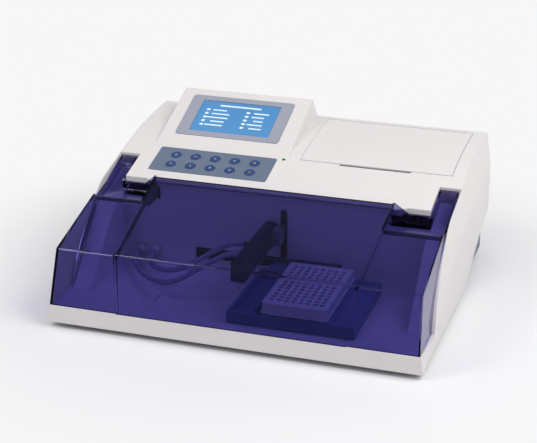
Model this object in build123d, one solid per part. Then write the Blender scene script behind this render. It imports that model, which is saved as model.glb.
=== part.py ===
from build123d import *
import math
import os

# Microplate washer. Lengths are in millimetres.
# The pieces are drawn on the bench: X to the right, Y back from the front rim, Z up from the
# underside of the base. save() then moves each one so that the origin is the middle of the footprint.

# Overall sizes
WIDTH = 480.0
BODY_DEPTH = 405.0
HOSE_REACH = 16.0
FOOT_HEIGHT = 7.0
FOOT_RADIUS = 11.0
FOOT_INSET_X = 40.0
FOOT_INSET_Y = 45.0
HALF = WIDTH / 2

# Moulded housing
WALL = 3.0
RIM_TOP = 22.6
RIM_WALL = 4.0
DECK_TOP = 20.0
RAIL_FOOT = (64.0, RIM_TOP)
RAIL_KNEE = (90.0, 67.0)
RAIL_MID = (116.0, 93.5)
RAIL_HIGH = (146.0, 116.5)
PANEL_FRONT = 176.2
PANEL_FRONT_Z = 132.0
PANEL_TILT = 14.0
PANEL_REAR = 258.0
CREST_LOW = (105.0, 51.5)
CREST_KNEE = (194.0, 94.0)
CREST_REAR = (BODY_DEPTH, 119.0)
SIDE_DRAFT = 8.0
TOP_MID = (300.0, 160.3)
TOP_BACK = (BODY_DEPTH - 60.0, 164.2)
REAR_TOP = 166.0
SWEEP_START = 228.0
SWEEP_MID = (310.0, 25.0)
SWEEP_REAR = 58.0
TIP_OUTER = HALF - 35.0
TIP_INNER = TIP_OUTER - 28.5
TIP_FRONT = 182.6

# Screen pod
POD_WIDTH = 189.5
POD_LEFT = 45.5 - HALF
POD_RIGHT = POD_LEFT + POD_WIDTH
POD_FRONT = 262.0
POD_TILT = 20.0
POD_TOP_Y = BODY_DEPTH - 24.0
POD_BACK_Y = BODY_DEPTH - WALL
POD_TOP_DRAFT = 2.0
POD_BLEND = 5.0

# Cover
COVER_SKIN = 2.6
COVER_FOOT = 22.9
COVER_CREASE = (22.1, 91.4)
COVER_SHOULDER = (135.6, 122.2)
COVER_FRONT_Y = 1.8
COVER_SIDE_X = HALF - 3.6
COVER_SIDE_LEAN = 0.050
BAY_FRONT_Y = 0.2
BAY_CREASE = (18.8, 94.2)
BAY_REAR = (175.4, 141.6)
BAY_FLANGE_Z = 131.2
SEAM_FOOT_X = HALF - 93.2
SEAM_LEAN = 0.120
VALLEY_Y = 138.5
VALLEY_Z = 114.5
GUTTER_Z = 116.0
GUTTER_WALL_TOP = 127.0
COVER_SIDE_DIP = ((VALLEY_Y, VALLEY_Z + 4.0), (152.0, VALLEY_Z + 4.0), (178.0, 124.5), (211.0, 137.0))
ARM_INNER_X = TIP_OUTER + 1.0
ARM_REAR_Y = 230.0
ARM_FLOOR_REAR_Z = 133.0
ARM_TOP_REAR_Z = 144.4
CREASE_ROUND = 5.0
COVER_GAP = 0.8

# Hinge of the cover
HINGE_Y = 221.0
HINGE_Z = 136.3
HINGE_PIN_RADIUS = 2.0
HINGE_HEAD_RADIUS = 3.0
HINGE_HEAD_LENGTH = 2.5
HINGE_CLEARANCE = 0.05
SEAT_CLEARANCE = 0.02

# Chamber
CHEEK_OUTER_X = HALF - 8.8
CHEEK_INNER_X = CHEEK_OUTER_X - 24.5
CHEEK_FOOT_Y = 60.0
CHEEK_KNEE = (146.0, 103.0)
CHEEK_SADDLE = (181.0, 109.0)
CHEEK_REAR = (232.0, 124.5)
CHEEK_REAR_DROP = 14.0
RAIL_INNER_X = HALF - 7.2
BULKHEAD_WALL = 3.0
BULKHEAD_BACK = PANEL_FRONT + BULKHEAD_WALL
BULKHEAD_SIDE_X = HALF - 86.0
BULKHEAD_SIDE_TOP = 109.0
SKIRT = 7.2
POCKET_WALL = 4.0
POCKET_REAR = 234.0
POCKET_DEPTH = 24.0
LIFT_SLOT_X = (10.5, 20.0)
LIFT_SLOT_Z = (46.0, 113.0)
CARRIAGE_SLOT_X = (-106.0, 93.5)
CARRIAGE_SLOT_Z = (30.0, 46.0)
TROUGH_LEFT = -118.0
TROUGH_RIGHT = HALF - 44.0
TROUGH_FRONT = 39.0
TROUGH_BACK = 166.0
TROUGH_DEPTH = 1.6
DECK_THICKNESS = 4.0

# Control panel
KEYPAD_CENTRE = (POD_LEFT + 94.3, 229.3)
KEYPAD_SIZE = (163.0, 55.0)
KEYPAD_THICKNESS = 1.2
KEY_PITCH = (27.6, 22.0)
KEY_COLUMNS = 5
KEY_ROWS = 2
KEY_RADIUS = 7.0
KEY_HEIGHT = 6.0
KEY_PROUD = 1.2
KEY_TRAVEL = 0.8
KEY_CLEARANCE = 0.3
KEY_FLANGE = 1.2
KEY_BOARD_DROP = 6.4
LAMP_PLACE = (POD_RIGHT - 4.9, 256.2)
LAMP_RADIUS = 2.2
BEZEL_CENTRE = (POD_LEFT + 93.0, 327.0)
BEZEL_SIZE = (147.0, 88.0)
BEZEL_THICKNESS = 1.5
SCREEN_SIZE = (113.5, 68.0)
SCREEN_THICKNESS = 4.0
SCREEN_INSET = 1.0

# Printer
PAPER_LID_X = (POD_RIGHT + 17.0, HALF - 24.6)
PAPER_LID_FRONT = 259.5
PAPER_LID_REAR = BODY_DEPTH - 7.0
PAPER_LID_SKIN = 2.4
PAPER_LID_PROUD = 0.6
PAPER_LID_GAP = 0.5
PAPER_BARREL = 5.6
PAPER_HINGE = (PAPER_LID_REAR - PAPER_LID_GAP - PAPER_BARREL, REAR_TOP + PAPER_LID_PROUD - PAPER_BARREL)
PAPER_PIN_RADIUS = 1.5
PAPER_SLOT_X = (66.0, 161.5)
PAPER_SLOT_WIDTH = 2.6
PAPER_WIDTH = 80.0
PAPER_ROLL_RADIUS = 24.0
PAPER_ROLL_SPINDLE = 5.0
PAPER_ROLL_PLACE = (340.0, 128.0)
PLATEN_RADIUS = 5.0
PLATEN_SHAFT = 2.6
PLATEN_PLACE = (273.5, 138.0)
PRINTER_WALL = 2.0
PRINTER_LEG = 4.0

# Plate carrier
CARRIER_X = (-10.5, 150.5)
CARRIER_Y = (25.0, 160.5)
CARRIER_Z = (21.0, 36.0)
TONGUE_X = (-0.5, 91.5)
TONGUE_Z = (31.0, 35.5)
BATH_X = (-6.5, 17.0)
BATH_Y = (32.5, 153.0)
BATH_FLOOR = 25.0
RIDGE_X = (21.5, 26.5)
RIDGE_TOP = 40.0
RECESS_X = (121.0, 143.0)
RECESS_DEPTH = 2.0
PLATE_LENGTH = 127.76
PLATE_WIDTH = 85.48
PLATE_HEIGHT = 14.35
PLATE_PLACE = (74.0, 91.9)
PLATE_SEAT = 37.5
PLATE_FLANGE = 2.6
PLATE_STEP = 1.4
WELL_PITCH = 9.0
WELL_COLUMNS = 12
WELL_ROWS = 8
WELL_RADIUS = 3.3
WELL_DEPTH = 10.8

# Traverse drive behind the bulkhead
GUIDE_RADIUS = 4.0
GUIDE_Y = (194.0, 214.0)
GUIDE_Z = 34.0
GUIDE_X = (-152.0, 150.0)
SLIDE_CLEARANCE = 0.05
BRACKET_X = (8.0, 84.0)
BRACKET_Y = (186.0, 231.0)
BRACKET_Z = (25.0, 41.5)
BELT_Y = 225.0
BELT_WIDTH = 6.0
BELT_THICKNESS = 1.4
PULLEY_X = (-140.0, 138.0)
PULLEY_RADIUS = 8.0
PULLEY_BORE = 2.5
PULLEY_Z = 34.0
FRAME_MOTOR = 42.0
FRAME_MOTOR_LENGTH = 34.0
BELT_GAP = 0.3

# Lift drive and wash head
HEAD_X = (-9.3, 7.5)
HEAD_Y = (39.5, 173.0)
HEAD_Z = (69.5, 96.2)
HEAD_CHAMFER = 3.0
HEAD_NOSE = (10.0, 3.6)
HEAD_PAD_LENGTH = 20.0
HEAD_PAD_REST = 4.0
NEEDLE_X = (-0.5, 3.0)
NEEDLE_COUNT = 12
NEEDLE_RADIUS = 0.75
NEEDLE_TIP = 56.0
NEEDLE_STEP = 3.0
HEAD_NIPPLES = ((100.0, 77.5), (118.0, 84.9))
HEAD_SCREWS_Y = (68.0, 122.0)
ARM_X = (12.0, 18.0)
ARM_Z = (73.0, 93.0)
LIFT_COLUMN = (15.0, 258.0)
LIFT_ROD_SPREAD = 22.0
LIFT_ROD_RADIUS = 3.0
LIFT_SCREW_RADIUS = 3.2
LIFT_BLOCK = (60.0, 18.0)
LIFT_BLOCK_Z = (71.0, 95.0)
LIFT_BASE_Z = (44.0, 50.0)
LIFT_CROWN_Z = (124.0, 129.0)
LIFT_BACK = 3.0
LIFT_MOTOR = 35.0

# Fluid ports and tubes
PORT_X = (58.0 - HALF, 78.0 - HALF)
PORT_Z = 35.0
PORT_PLATE_X = (PORT_X[0] - 8.5, PORT_X[1] + 9.5)
PORT_PLATE_Z = (25.5, 45.5)
PORT_PLATE_THICKNESS = 2.0
PORT_RADIUS = 5.6
PORT_REACH = 9.0
TUBE_RADIUS = 3.5
PORT_FACE = PANEL_FRONT - PORT_PLATE_THICKNESS - PORT_REACH
TUBE_END = HEAD_X[0] - PORT_REACH
TUBE_LEAD = 16.0
WASTE_ROUTE = [
    (PORT_X[0], PORT_FACE, PORT_Z), (PORT_X[0], PORT_FACE - TUBE_LEAD, PORT_Z), (-167.5, 121.0, 32.7),
    (-136.3, 85.0, 36.2), (-103.0, 62.0, 43.3), (-81.4, 70.0, 52.3), (-65.3, 78.0, 63.2), (-52.6, 88.0, 67.8),
    (TUBE_END - TUBE_LEAD, *HEAD_NIPPLES[0]), (TUBE_END, *HEAD_NIPPLES[0]),
]
WASH_ROUTE = [
    (PORT_X[1], PORT_FACE, PORT_Z), (PORT_X[1], PORT_FACE - TUBE_LEAD, PORT_Z), (-148.9, 132.0, 31.3),
    (-125.6, 116.0, 35.6), (-100.8, 104.0, 46.1), (-81.5, 106.0, 56.1), (-68.1, 112.0, 64.2),
    (-53.6, 117.0, 73.1), (TUBE_END - TUBE_LEAD, *HEAD_NIPPLES[1]), (TUBE_END, *HEAD_NIPPLES[1]),
]

# Chassis
PAN_SHEET = 1.5
PAN_SIDE_X = HALF - 8.5
PAN_FRONT = 5.0
PAN_WALL = 12.0
PAN_REAR_TOP = 62.0
PAN_REAR = BODY_DEPTH - WALL - 0.3
DECK_POSTS_X = (40.0 - HALF, -60.0, 60.0, HALF - 40.0)
DECK_POSTS_Y = (20.0, 150.0)
DECK_POST_RADIUS = 6.0
BOSS_RADIUS = 5.0
REAR_BOSS_Y = (250.0, BODY_DEPTH - 30.0)
REAR_BOSS_TOP = 116.0
FRONT_BOSS_X = 150.0

# Back of the base
INLET_PLACE = (75.0 - HALF, 34.0)
INLET_SIZE = (28.0, 20.0)
SWITCH_PLACE = (INLET_PLACE[0] + 37.0, 34.0)
SWITCH_SIZE = (13.0, 21.0)
SERIAL_PLACE = (-70.0, 34.0)
SERIAL_SIZE = (31.0, 12.5)
HOSE_PLACES = (60.0, 90.0, 120.0, 150.0)
HOSE_Z = 34.0
HOSE_RADIUS = 4.0
HOSE_BORE = 2.4
HOSE_RIBS = 4
VENT_COUNT = 14
VENT_PITCH = 9.0
VENT_WIDTH = 3.0
VENT_HEIGHT = 34.0
VENT_CENTRE = (100.0, 118.0)

# Electronics and fluid works
STANDOFF = 5.0
BOARD_THICKNESS = 1.6
SUPPLY_X = (25.0 - HALF, 120.0 - HALF)
SUPPLY_Y = (BODY_DEPTH - 115.0, BODY_DEPTH - 30.0)
SUPPLY_TOP = 48.0
MAIN_BOARD_X = (SUPPLY_X[1] + 15.0, SUPPLY_X[1] + 105.0)
MAIN_BOARD_Y = (BODY_DEPTH - 115.0, BODY_DEPTH - 10.0)
PUMP_PLACE = (HALF - 55.0, BODY_DEPTH - 75.0)
PUMP_RADIUS = 19.0
PUMP_HEIGHT = 62.0
VALVE_X = (60.0, 96.0, 132.0)
VALVE_Y = BODY_DEPTH - 113.0
VALVE_SIZE = (24.0, 24.0, 34.0)
SCREW_RADIUS = 2.0
SCREW_HEAD = 4.0
SCREW_HEAD_HEIGHT = 1.6


def panel_z(y):
    """Height of the sloped control panel's face at a distance y from the front."""
    return PANEL_FRONT_Z + (y - PANEL_FRONT) * math.tan(math.radians(PANEL_TILT))


def block(x, y, z):
    """A square-edged block between three pairs of limits."""
    size = Box(x[1] - x[0], y[1] - y[0], z[1] - z[0])
    return Pos((x[0] + x[1]) / 2, (y[0] + y[1]) / 2, (z[0] + z[1]) / 2) * size


def rod_x(x, y, z, radius):
    """A round bar along X."""
    return Pos((x[0] + x[1]) / 2, y, z) * Rot(0, 90, 0) * Cylinder(radius, x[1] - x[0])


def rod_y(x, y, z, radius):
    """A round bar along Y."""
    return Pos(x, (y[0] + y[1]) / 2, z) * Rot(90, 0, 0) * Cylinder(radius, y[1] - y[0])


def rod_z(x, y, z, radius):
    """A round bar along Z."""
    return Pos(x, y, (z[0] + z[1]) / 2) * Cylinder(radius, z[1] - z[0])


def side_prism(x, *edges):
    """A bar along X whose section, seen from the right side, has these edges."""
    face = Plane.YZ.offset(x[0]) * make_face(Curve() + list(edges))
    return extrude(face, amount=x[1] - x[0], dir=(1, 0, 0))


def side_plate(x, points):
    """A bar along X whose section has its corners as (y, z)."""
    return side_prism(x, Polyline(*points, close=True))


def front_plate(y, points):
    """A bar along Y whose section, seen from the front, has its corners as (x, z)."""
    wire = Polyline(*[(px, y[0], pz) for px, pz in points], close=True)
    return extrude(make_face(wire), amount=y[1] - y[0], dir=(0, 1, 0))


def plan_plate(z, points, radius=0.0):
    """A bar along Z whose section, seen from above, has its corners as (x, y)."""
    face = make_face(Polyline(*points, close=True))
    if radius:
        face = fillet(face.vertices(), radius)
    return extrude(Plane.XY.offset(z[0]) * face, amount=z[1] - z[0], dir=(0, 0, 1))


def band(path, radii, thickness):
    """The section of a sheet that follows a path, with its thickness on the path's right."""
    line = FilletPolyline(*path, radius=radii)
    return make_face(offset(line, amount=thickness, side=Side.RIGHT))


def sheet_along_x(x, path, radii, thickness):
    """A bent sheet along X."""
    face = Plane.YZ.offset(x[0]) * band(path, radii, thickness)
    return extrude(face, amount=x[1] - x[0], dir=(1, 0, 0))


def mirrored(solid):
    """The same piece on the other side of the middle plane."""
    return mirror(solid, about=Plane.YZ)


def both_sides(solid):
    """A piece and its mirror image."""
    return solid + mirrored(solid)


def panel_plane(place, rise=0.0):
    """A plane lying on the control panel, with its X to the right."""
    tilt = math.radians(PANEL_TILT)
    origin = Vector(place[0], place[1], panel_z(place[1]))
    normal = Vector(0, -math.sin(tilt), math.cos(tilt))
    return Plane(origin=origin + normal * rise, x_dir=(1, 0, 0), z_dir=normal)


def pod_z(y):
    """Height of the screen pod's sloped face at a distance y from the front."""
    return panel_z(POD_FRONT) + (y - POD_FRONT) * math.tan(math.radians(POD_TILT))


def pod_plane(place, rise=0.0):
    """A plane lying on the screen pod's face, with its X to the right."""
    tilt = math.radians(POD_TILT)
    origin = Vector(place[0], place[1], pod_z(place[1]))
    normal = Vector(0, -math.sin(tilt), math.cos(tilt))
    return Plane(origin=origin + normal * rise, x_dir=(1, 0, 0), z_dir=normal)


def plate_on(plane, size, thickness, radius=0.0):
    """A flat plate on a plane, centred, rising along the plane's normal."""
    outline = RectangleRounded(*size, radius) if radius else Rectangle(*size)
    return extrude(plane * outline, amount=thickness)


# Main housing

def silhouette():
    """The housing's outline seen from the right side, as a closed ring of edges."""
    tilt = math.radians(PANEL_TILT)
    panel_direction = (math.cos(tilt), math.sin(tilt))
    panel_start = (PANEL_FRONT, PANEL_FRONT_Z)
    panel_end = (PANEL_REAR, panel_z(PANEL_REAR))
    rail = Spline(
        RAIL_FOOT, RAIL_KNEE, RAIL_MID, RAIL_HIGH, panel_start,
        tangents=[(0.25, 1.0), panel_direction],
    )
    top = Spline(
        panel_end, TOP_MID, TOP_BACK, (BODY_DEPTH, REAR_TOP),
        tangents=[panel_direction, (1.0, 0.0)],
    )
    sweep = Spline(
        (BODY_DEPTH, SWEEP_REAR), SWEEP_MID, (SWEEP_START, 0.0),
        tangents=[(-1.0, -0.2), (-1.0, 0.0)],
    )
    return [
        Line((0, 0), (0, RIM_TOP)),
        Line((0, RIM_TOP), RAIL_FOOT),
        rail,
        Line(panel_start, panel_end),
        top,
        Line((BODY_DEPTH, REAR_TOP), (BODY_DEPTH, SWEEP_REAR)),
        sweep,
        Line((SWEEP_START, 0), (0, 0)),
    ]


def draft_wedge(low, high):
    """What a drafted side loses outside the plane that leans in from a crest line."""
    slope = math.atan2(high[1] - low[1], high[0] - low[0])
    reach = BODY_DEPTH
    lean = REAR_TOP * math.tan(math.radians(SIDE_DRAFT))
    outside = 2 * lean
    ring = [(0, 0), (outside, 0), (outside, REAR_TOP), (-lean, REAR_TOP)]
    frame = Plane(
        origin=(HALF, low[0], low[1]),
        x_dir=(1, 0, 0),
        z_dir=(0, -math.cos(slope), -math.sin(slope)),
    )
    face = frame * make_face(Polyline(*ring, close=True))
    return extrude(face, amount=reach, both=True)


def housing_cavity():
    """The space inside the housing, narrower towards the top like its walls."""
    top = Spline(
        (PANEL_REAR, panel_z(PANEL_REAR) - WALL), (TOP_MID[0], TOP_MID[1] - WALL),
        (TOP_BACK[0], TOP_BACK[1] - WALL), (BODY_DEPTH - WALL, REAR_TOP - WALL),
    )
    start = (PANEL_FRONT + WALL, PANEL_FRONT_Z - SKIRT)
    knee = (PANEL_FRONT + WALL + SKIRT, panel_z(PANEL_FRONT + WALL + SKIRT) - WALL)
    side = side_prism(
        (-HALF, HALF),
        Line((start[0], -1), start), Line(start, knee),
        Line(knee, (PANEL_REAR, panel_z(PANEL_REAR) - WALL)), top,
        Line((BODY_DEPTH - WALL, REAR_TOP - WALL), (BODY_DEPTH - WALL, -1)),
        Line((BODY_DEPTH - WALL, -1), (start[0], -1)),
    )
    narrow = RAIL_INNER_X - WALL * 2
    front = [
        (-RAIL_INNER_X, -1), (RAIL_INNER_X, -1), (RAIL_INNER_X, CREST_LOW[1]),
        (narrow, RAIL_HIGH[1]), (narrow, REAR_TOP), (-narrow, REAR_TOP),
        (-narrow, RAIL_HIGH[1]), (-RAIL_INNER_X, CREST_LOW[1]),
    ]
    return side & front_plate((0, BODY_DEPTH), front)


def pod_body(inset=0.0):
    """The wedge that carries the screen, or the space inside it when inset."""
    left, right = POD_LEFT + inset, POD_RIGHT - inset
    foot = panel_z(POD_FRONT)
    top = pod_z(POD_TOP_Y)
    drop = inset / math.cos(math.radians(POD_TILT))
    ring = [
        (POD_FRONT, foot - drop), (POD_TOP_Y - inset / 2, top - drop),
        (POD_BACK_Y - inset, REAR_TOP), (POD_BACK_Y - inset, foot - WALL * 2),
        (POD_FRONT + WALL * 2, foot - WALL * 2),
    ]
    wedge = side_plate((left, right), ring)
    lean = POD_TOP_DRAFT
    front = [
        (left, foot - WALL * 2), (right, foot - WALL * 2), (right, foot),
        (right - lean, top), (left + lean, top), (left, foot),
    ]
    return wedge & front_plate((POD_FRONT, POD_BACK_Y), front)


def cover_well():
    """The part of the panel that is cut away for the cover's gutter and arms, on the right."""
    bay_x = seam_x(BAY_REAR[1]) + COVER_GAP
    points = [
        (bay_x, PANEL_FRONT - WALL * 2), (bay_x, PANEL_FRONT), (TIP_INNER, TIP_FRONT),
        (TIP_OUTER, TIP_FRONT), (TIP_OUTER, POCKET_REAR), (RAIL_INNER_X, POCKET_REAR),
        (RAIL_INNER_X, RAIL_FOOT[0]), (bay_x, RAIL_FOOT[0]),
    ]
    return plan_plate((CHEEK_KNEE[1], REAR_TOP), points)


def pocket_walls(outline):
    """The skirts that hang from the panel round the right-hand arm and hold its pin."""
    low = panel_z(POCKET_REAR) - POCKET_DEPTH
    inner = block((TIP_OUTER - POCKET_WALL, TIP_OUTER), (TIP_FRONT, POCKET_REAR + POCKET_WALL), (low, REAR_TOP))
    rear = block((TIP_OUTER, RAIL_INNER_X), (POCKET_REAR, POCKET_REAR + POCKET_WALL), (low, REAR_TOP))
    front = block((TIP_INNER, TIP_OUTER), (TIP_FRONT, TIP_FRONT + WALL), (PANEL_FRONT_Z - SKIRT, REAR_TOP))
    hole = rod_x((TIP_OUTER - 2 * POCKET_WALL, TIP_OUTER + 1), HINGE_Y, HINGE_Z, HINGE_PIN_RADIUS + SEAT_CLEARANCE)
    return ((inner + rear + front) & outline) - hole


def paper_window():
    """The opening in the top that the paper lid closes."""
    return block(PAPER_LID_X, (PAPER_LID_FRONT, PAPER_LID_REAR), (PANEL_FRONT_Z, 2 * REAR_TOP))


def rear_vents():
    """A row of upright louvre slots in the rear wall."""
    slots = Part()
    for i in range(VENT_COUNT):
        x = VENT_CENTRE[0] + (i - (VENT_COUNT - 1) / 2) * VENT_PITCH
        z = (VENT_CENTRE[1] - VENT_HEIGHT / 2, VENT_CENTRE[1] + VENT_HEIGHT / 2)
        slots += block((x - VENT_WIDTH / 2, x + VENT_WIDTH / 2), (BODY_DEPTH - 2 * WALL, BODY_DEPTH + 1), z)
    return slots


def key_places():
    """Centres of the keys on the panel, as (x, y), row by row from the back."""
    fall = math.cos(math.radians(PANEL_TILT))
    places = []
    for row in range(KEY_ROWS):
        for column in range(KEY_COLUMNS):
            x = KEYPAD_CENTRE[0] + (column - (KEY_COLUMNS - 1) / 2) * KEY_PITCH[0]
            y = KEYPAD_CENTRE[1] - (row - (KEY_ROWS - 1) / 2) * KEY_PITCH[1] * fall
            places.append((x, y))
    return places


def panel_cuts():
    """Seats and openings in the control panel for the keypad, the lamp and the paper."""
    clear = KEY_CLEARANCE
    seat = plate_on(panel_plane(KEYPAD_CENTRE, -KEYPAD_THICKNESS),
                    (KEYPAD_SIZE[0] + 2 * clear, KEYPAD_SIZE[1] + 2 * clear), WALL, 3.0)
    window = plate_on(panel_plane(KEYPAD_CENTRE, -3 * WALL),
                      (KEYPAD_SIZE[0] - 4 * WALL, KEYPAD_SIZE[1] - 2 * WALL), 4 * WALL, 3.0)
    lamp = extrude(panel_plane(LAMP_PLACE, -2 * WALL) * Circle(LAMP_RADIUS + SEAT_CLEARANCE), amount=3 * WALL)
    slot_y = PAPER_LID_FRONT - PAPER_LID_GAP - PAPER_SLOT_WIDTH
    slot = block(PAPER_SLOT_X, (slot_y, PAPER_LID_FRONT), (PANEL_FRONT_Z, REAR_TOP))
    return seat + window + lamp + slot


def pod_cuts():
    """The seat for the bezel and the window for the screen behind it."""
    clear = KEY_CLEARANCE
    seat = plate_on(pod_plane(BEZEL_CENTRE, -BEZEL_THICKNESS + SCREEN_INSET / 2),
                    (BEZEL_SIZE[0] + 2 * clear, BEZEL_SIZE[1] + 2 * clear), WALL, 5.0)
    window = plate_on(pod_plane(BEZEL_CENTRE, -3 * WALL),
                      (BEZEL_SIZE[0] - 3 * WALL, BEZEL_SIZE[1] - 3 * WALL), 4 * WALL, 3.0)
    return seat + window


def main_housing():
    """The white moulded shell: front rim, side rails, control panel, screen pod, top and rear wall."""
    outline = side_prism((-HALF, HALF), *silhouette())
    body = outline + pod_body()
    body -= housing_cavity()
    body -= pod_body(WALL)
    span = (-RAIL_INNER_X, RAIL_INNER_X)
    body -= block(span, (RIM_WALL, PANEL_FRONT), (-1, REAR_TOP))
    body -= block(span, (PANEL_FRONT - 1, POCKET_REAR), (-1, PANEL_FRONT_Z - SKIRT))
    body -= both_sides(cover_well())
    walls = pocket_walls(outline)
    body += both_sides(walls)
    wedges = draft_wedge(CREST_LOW, CREST_KNEE) + draft_wedge(CREST_KNEE, CREST_REAR)
    body -= both_sides(wedges)
    body -= paper_window()
    body -= panel_cuts()
    body -= pod_cuts()
    body -= rear_vents()
    body += paper_hinge_ears()
    body -= paper_pin_holes()
    return body + housing_bosses() - boss_holes()


def boss_places():
    """Where the housing is screwed to the pan, as (x, y)."""
    side = PAN_SIDE_X - PAN_SHEET - BOSS_RADIUS - KEY_CLEARANCE
    front = RIM_WALL + BOSS_RADIUS - 1.0
    places = [(sign * side, y) for sign in (-1, 1) for y in REAR_BOSS_Y]
    return places + [(sign * FRONT_BOSS_X, front) for sign in (-1, 1)]


def housing_bosses():
    """The screw bosses inside the housing's walls."""
    bosses = Part()
    for x, y in boss_places():
        top = REAR_BOSS_TOP if y > PANEL_FRONT else DECK_TOP - DECK_THICKNESS
        bosses += rod_z(x, y, (pan_top(), top), BOSS_RADIUS)
    return bosses


def boss_holes():
    """The holes in the bosses for the screws from below."""
    holes = Part()
    for x, y in boss_places():
        holes += rod_z(x, y, (-1, PAN_WALL), SCREW_RADIUS + SEAT_CLEARANCE)
    return holes


def paper_hinge_ears():
    """Two ears under the top that hold the paper lid's pins."""
    y, z = PAPER_HINGE
    ears = Part()
    for x in (PAPER_LID_X[0] - WALL, PAPER_LID_X[1]):
        ears += block((x, x + WALL), (y - 5, y + 5), (z - 5, REAR_TOP - WALL + 0.2))
    return ears


def paper_pin_holes():
    """The holes for the paper lid's pins, through the ears and the top's edges."""
    holes = Part()
    for x in (PAPER_LID_X[0] - WALL, PAPER_LID_X[1]):
        holes += rod_x((x - 1, x + WALL + 1), *PAPER_HINGE, PAPER_PIN_RADIUS + SEAT_CLEARANCE)
    return holes


# Cover

def seam_x(z):
    """Half the width of the cover's proud middle bay at a height z."""
    return SEAM_FOOT_X + SEAM_LEAN * (z - COVER_FOOT)


def side_x(z):
    """Distance of the cover's outer side face from the middle at a height z."""
    return COVER_SIDE_X - COVER_SIDE_LEAN * (z - COVER_FOOT)


def between(x_low, x_high, margin_low=0.0, margin_high=0.0):
    """The space between two leaning upright planes, given as functions of the height."""
    z = (0.0, 2 * REAR_TOP)
    points = [
        (x_low(z[0]) + margin_low, z[0]), (x_high(z[0]) + margin_high, z[0]),
        (x_high(z[1]) + margin_high, z[1]), (x_low(z[1]) + margin_low, z[1]),
    ]
    return front_plate((-WALL, BODY_DEPTH), points)


def cover_bay():
    """The proud middle bay, from the front foot over the crease to the flange at the rear."""
    path = [(BAY_FRONT_Y, COVER_FOOT), BAY_CREASE, BAY_REAR, (BAY_REAR[0], BAY_FLANGE_Z)]
    sheet = sheet_along_x((-TIP_INNER, TIP_INNER), path, [CREASE_ROUND, COVER_SKIN], COVER_SKIN)
    half = between(lambda z: 0.0, seam_x)
    return sheet & both_sides(half)


def cover_wing():
    """The right wing: front, slope, shoulder, gutter and the sunk arm that runs back to the hinge."""
    foot = (COVER_FRONT_Y, COVER_FOOT)
    gutter_y = TIP_FRONT - COVER_GAP - COVER_SKIN
    valley = (VALLEY_Y, VALLEY_Z)
    shoulder_round = 1.5
    gutter_path = [foot, COVER_CREASE, COVER_SHOULDER, valley, (gutter_y, GUTTER_Z), (gutter_y, GUTTER_WALL_TOP)]
    radii = [CREASE_ROUND, COVER_SKIN + shoulder_round, shoulder_round, shoulder_round]
    gutter = sheet_along_x((0, ARM_INNER_X + COVER_SKIN), gutter_path, radii, COVER_SKIN)
    end_y = ARM_REAR_Y - COVER_SKIN
    arm_path = [foot, COVER_CREASE, COVER_SHOULDER, valley, (gutter_y, GUTTER_Z),
                (end_y, ARM_FLOOR_REAR_Z), (end_y, ARM_TOP_REAR_Z)]
    arm_radii = [CREASE_ROUND, COVER_SKIN + shoulder_round, shoulder_round, 2 * CREASE_ROUND, shoulder_round]
    arm = sheet_along_x((ARM_INNER_X, HALF), arm_path, arm_radii, COVER_SKIN)
    corner = seam_x(BAY_REAR[1])
    back = TIP_FRONT - COVER_GAP
    before_panel = plan_plate((0, 2 * REAR_TOP), [
        (0, -WALL), (HALF, -WALL), (HALF, back), (TIP_INNER, back), (corner, BAY_REAR[0]), (0, BAY_REAR[0])])
    wing = gutter & between(seam_x, lambda z: HALF, -COVER_SKIN) & before_panel
    arm = arm & between(lambda z: 0.0, side_x)
    return wing + arm


def bay_side_wall():
    """The step between the middle bay and the right wing, which deepens towards the gutter."""
    drop = 2 * COVER_SKIN
    ring = [
        (BAY_FRONT_Y, COVER_FOOT), BAY_CREASE, BAY_REAR, (BAY_REAR[0], GUTTER_Z - COVER_SKIN),
        (VALLEY_Y, VALLEY_Z - COVER_SKIN), (COVER_SHOULDER[0] - COVER_SKIN, COVER_SHOULDER[1] - drop),
        (COVER_CREASE[0] + COVER_SKIN, COVER_CREASE[1] - drop), (COVER_FRONT_Y + COVER_SKIN, COVER_FOOT),
    ]
    wall = side_plate((0, TIP_INNER), ring)
    return wall & between(seam_x, seam_x, -COVER_SKIN)


def gutter_corner():
    """The upright wall that runs from the bay's rear corner down to the gutter, on the right."""
    z = (GUTTER_Z - COVER_SKIN, BAY_REAR[1])
    x = seam_x(BAY_REAR[1]) - COVER_SKIN
    back = TIP_FRONT - COVER_GAP
    plan = [
        (x, BAY_REAR[0] - COVER_SKIN), (x + COVER_SKIN, BAY_REAR[0] - COVER_SKIN),
        (TIP_INNER, back - COVER_SKIN), (TIP_INNER + COVER_SKIN, back - COVER_SKIN),
        (TIP_INNER + COVER_SKIN, back), (TIP_INNER, back), (x + COVER_SKIN, BAY_REAR[0]), (x, BAY_REAR[0]),
    ]
    front = [
        (x, z[0]), (TIP_INNER + COVER_SKIN, z[0]), (TIP_INNER + COVER_SKIN, GUTTER_WALL_TOP),
        (TIP_INNER, GUTTER_WALL_TOP), (x + COVER_SKIN, BAY_REAR[1]), (x, BAY_REAR[1]),
    ]
    return plan_plate(z, plan) & front_plate((PANEL_FRONT - 4 * WALL, back), front)


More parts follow.
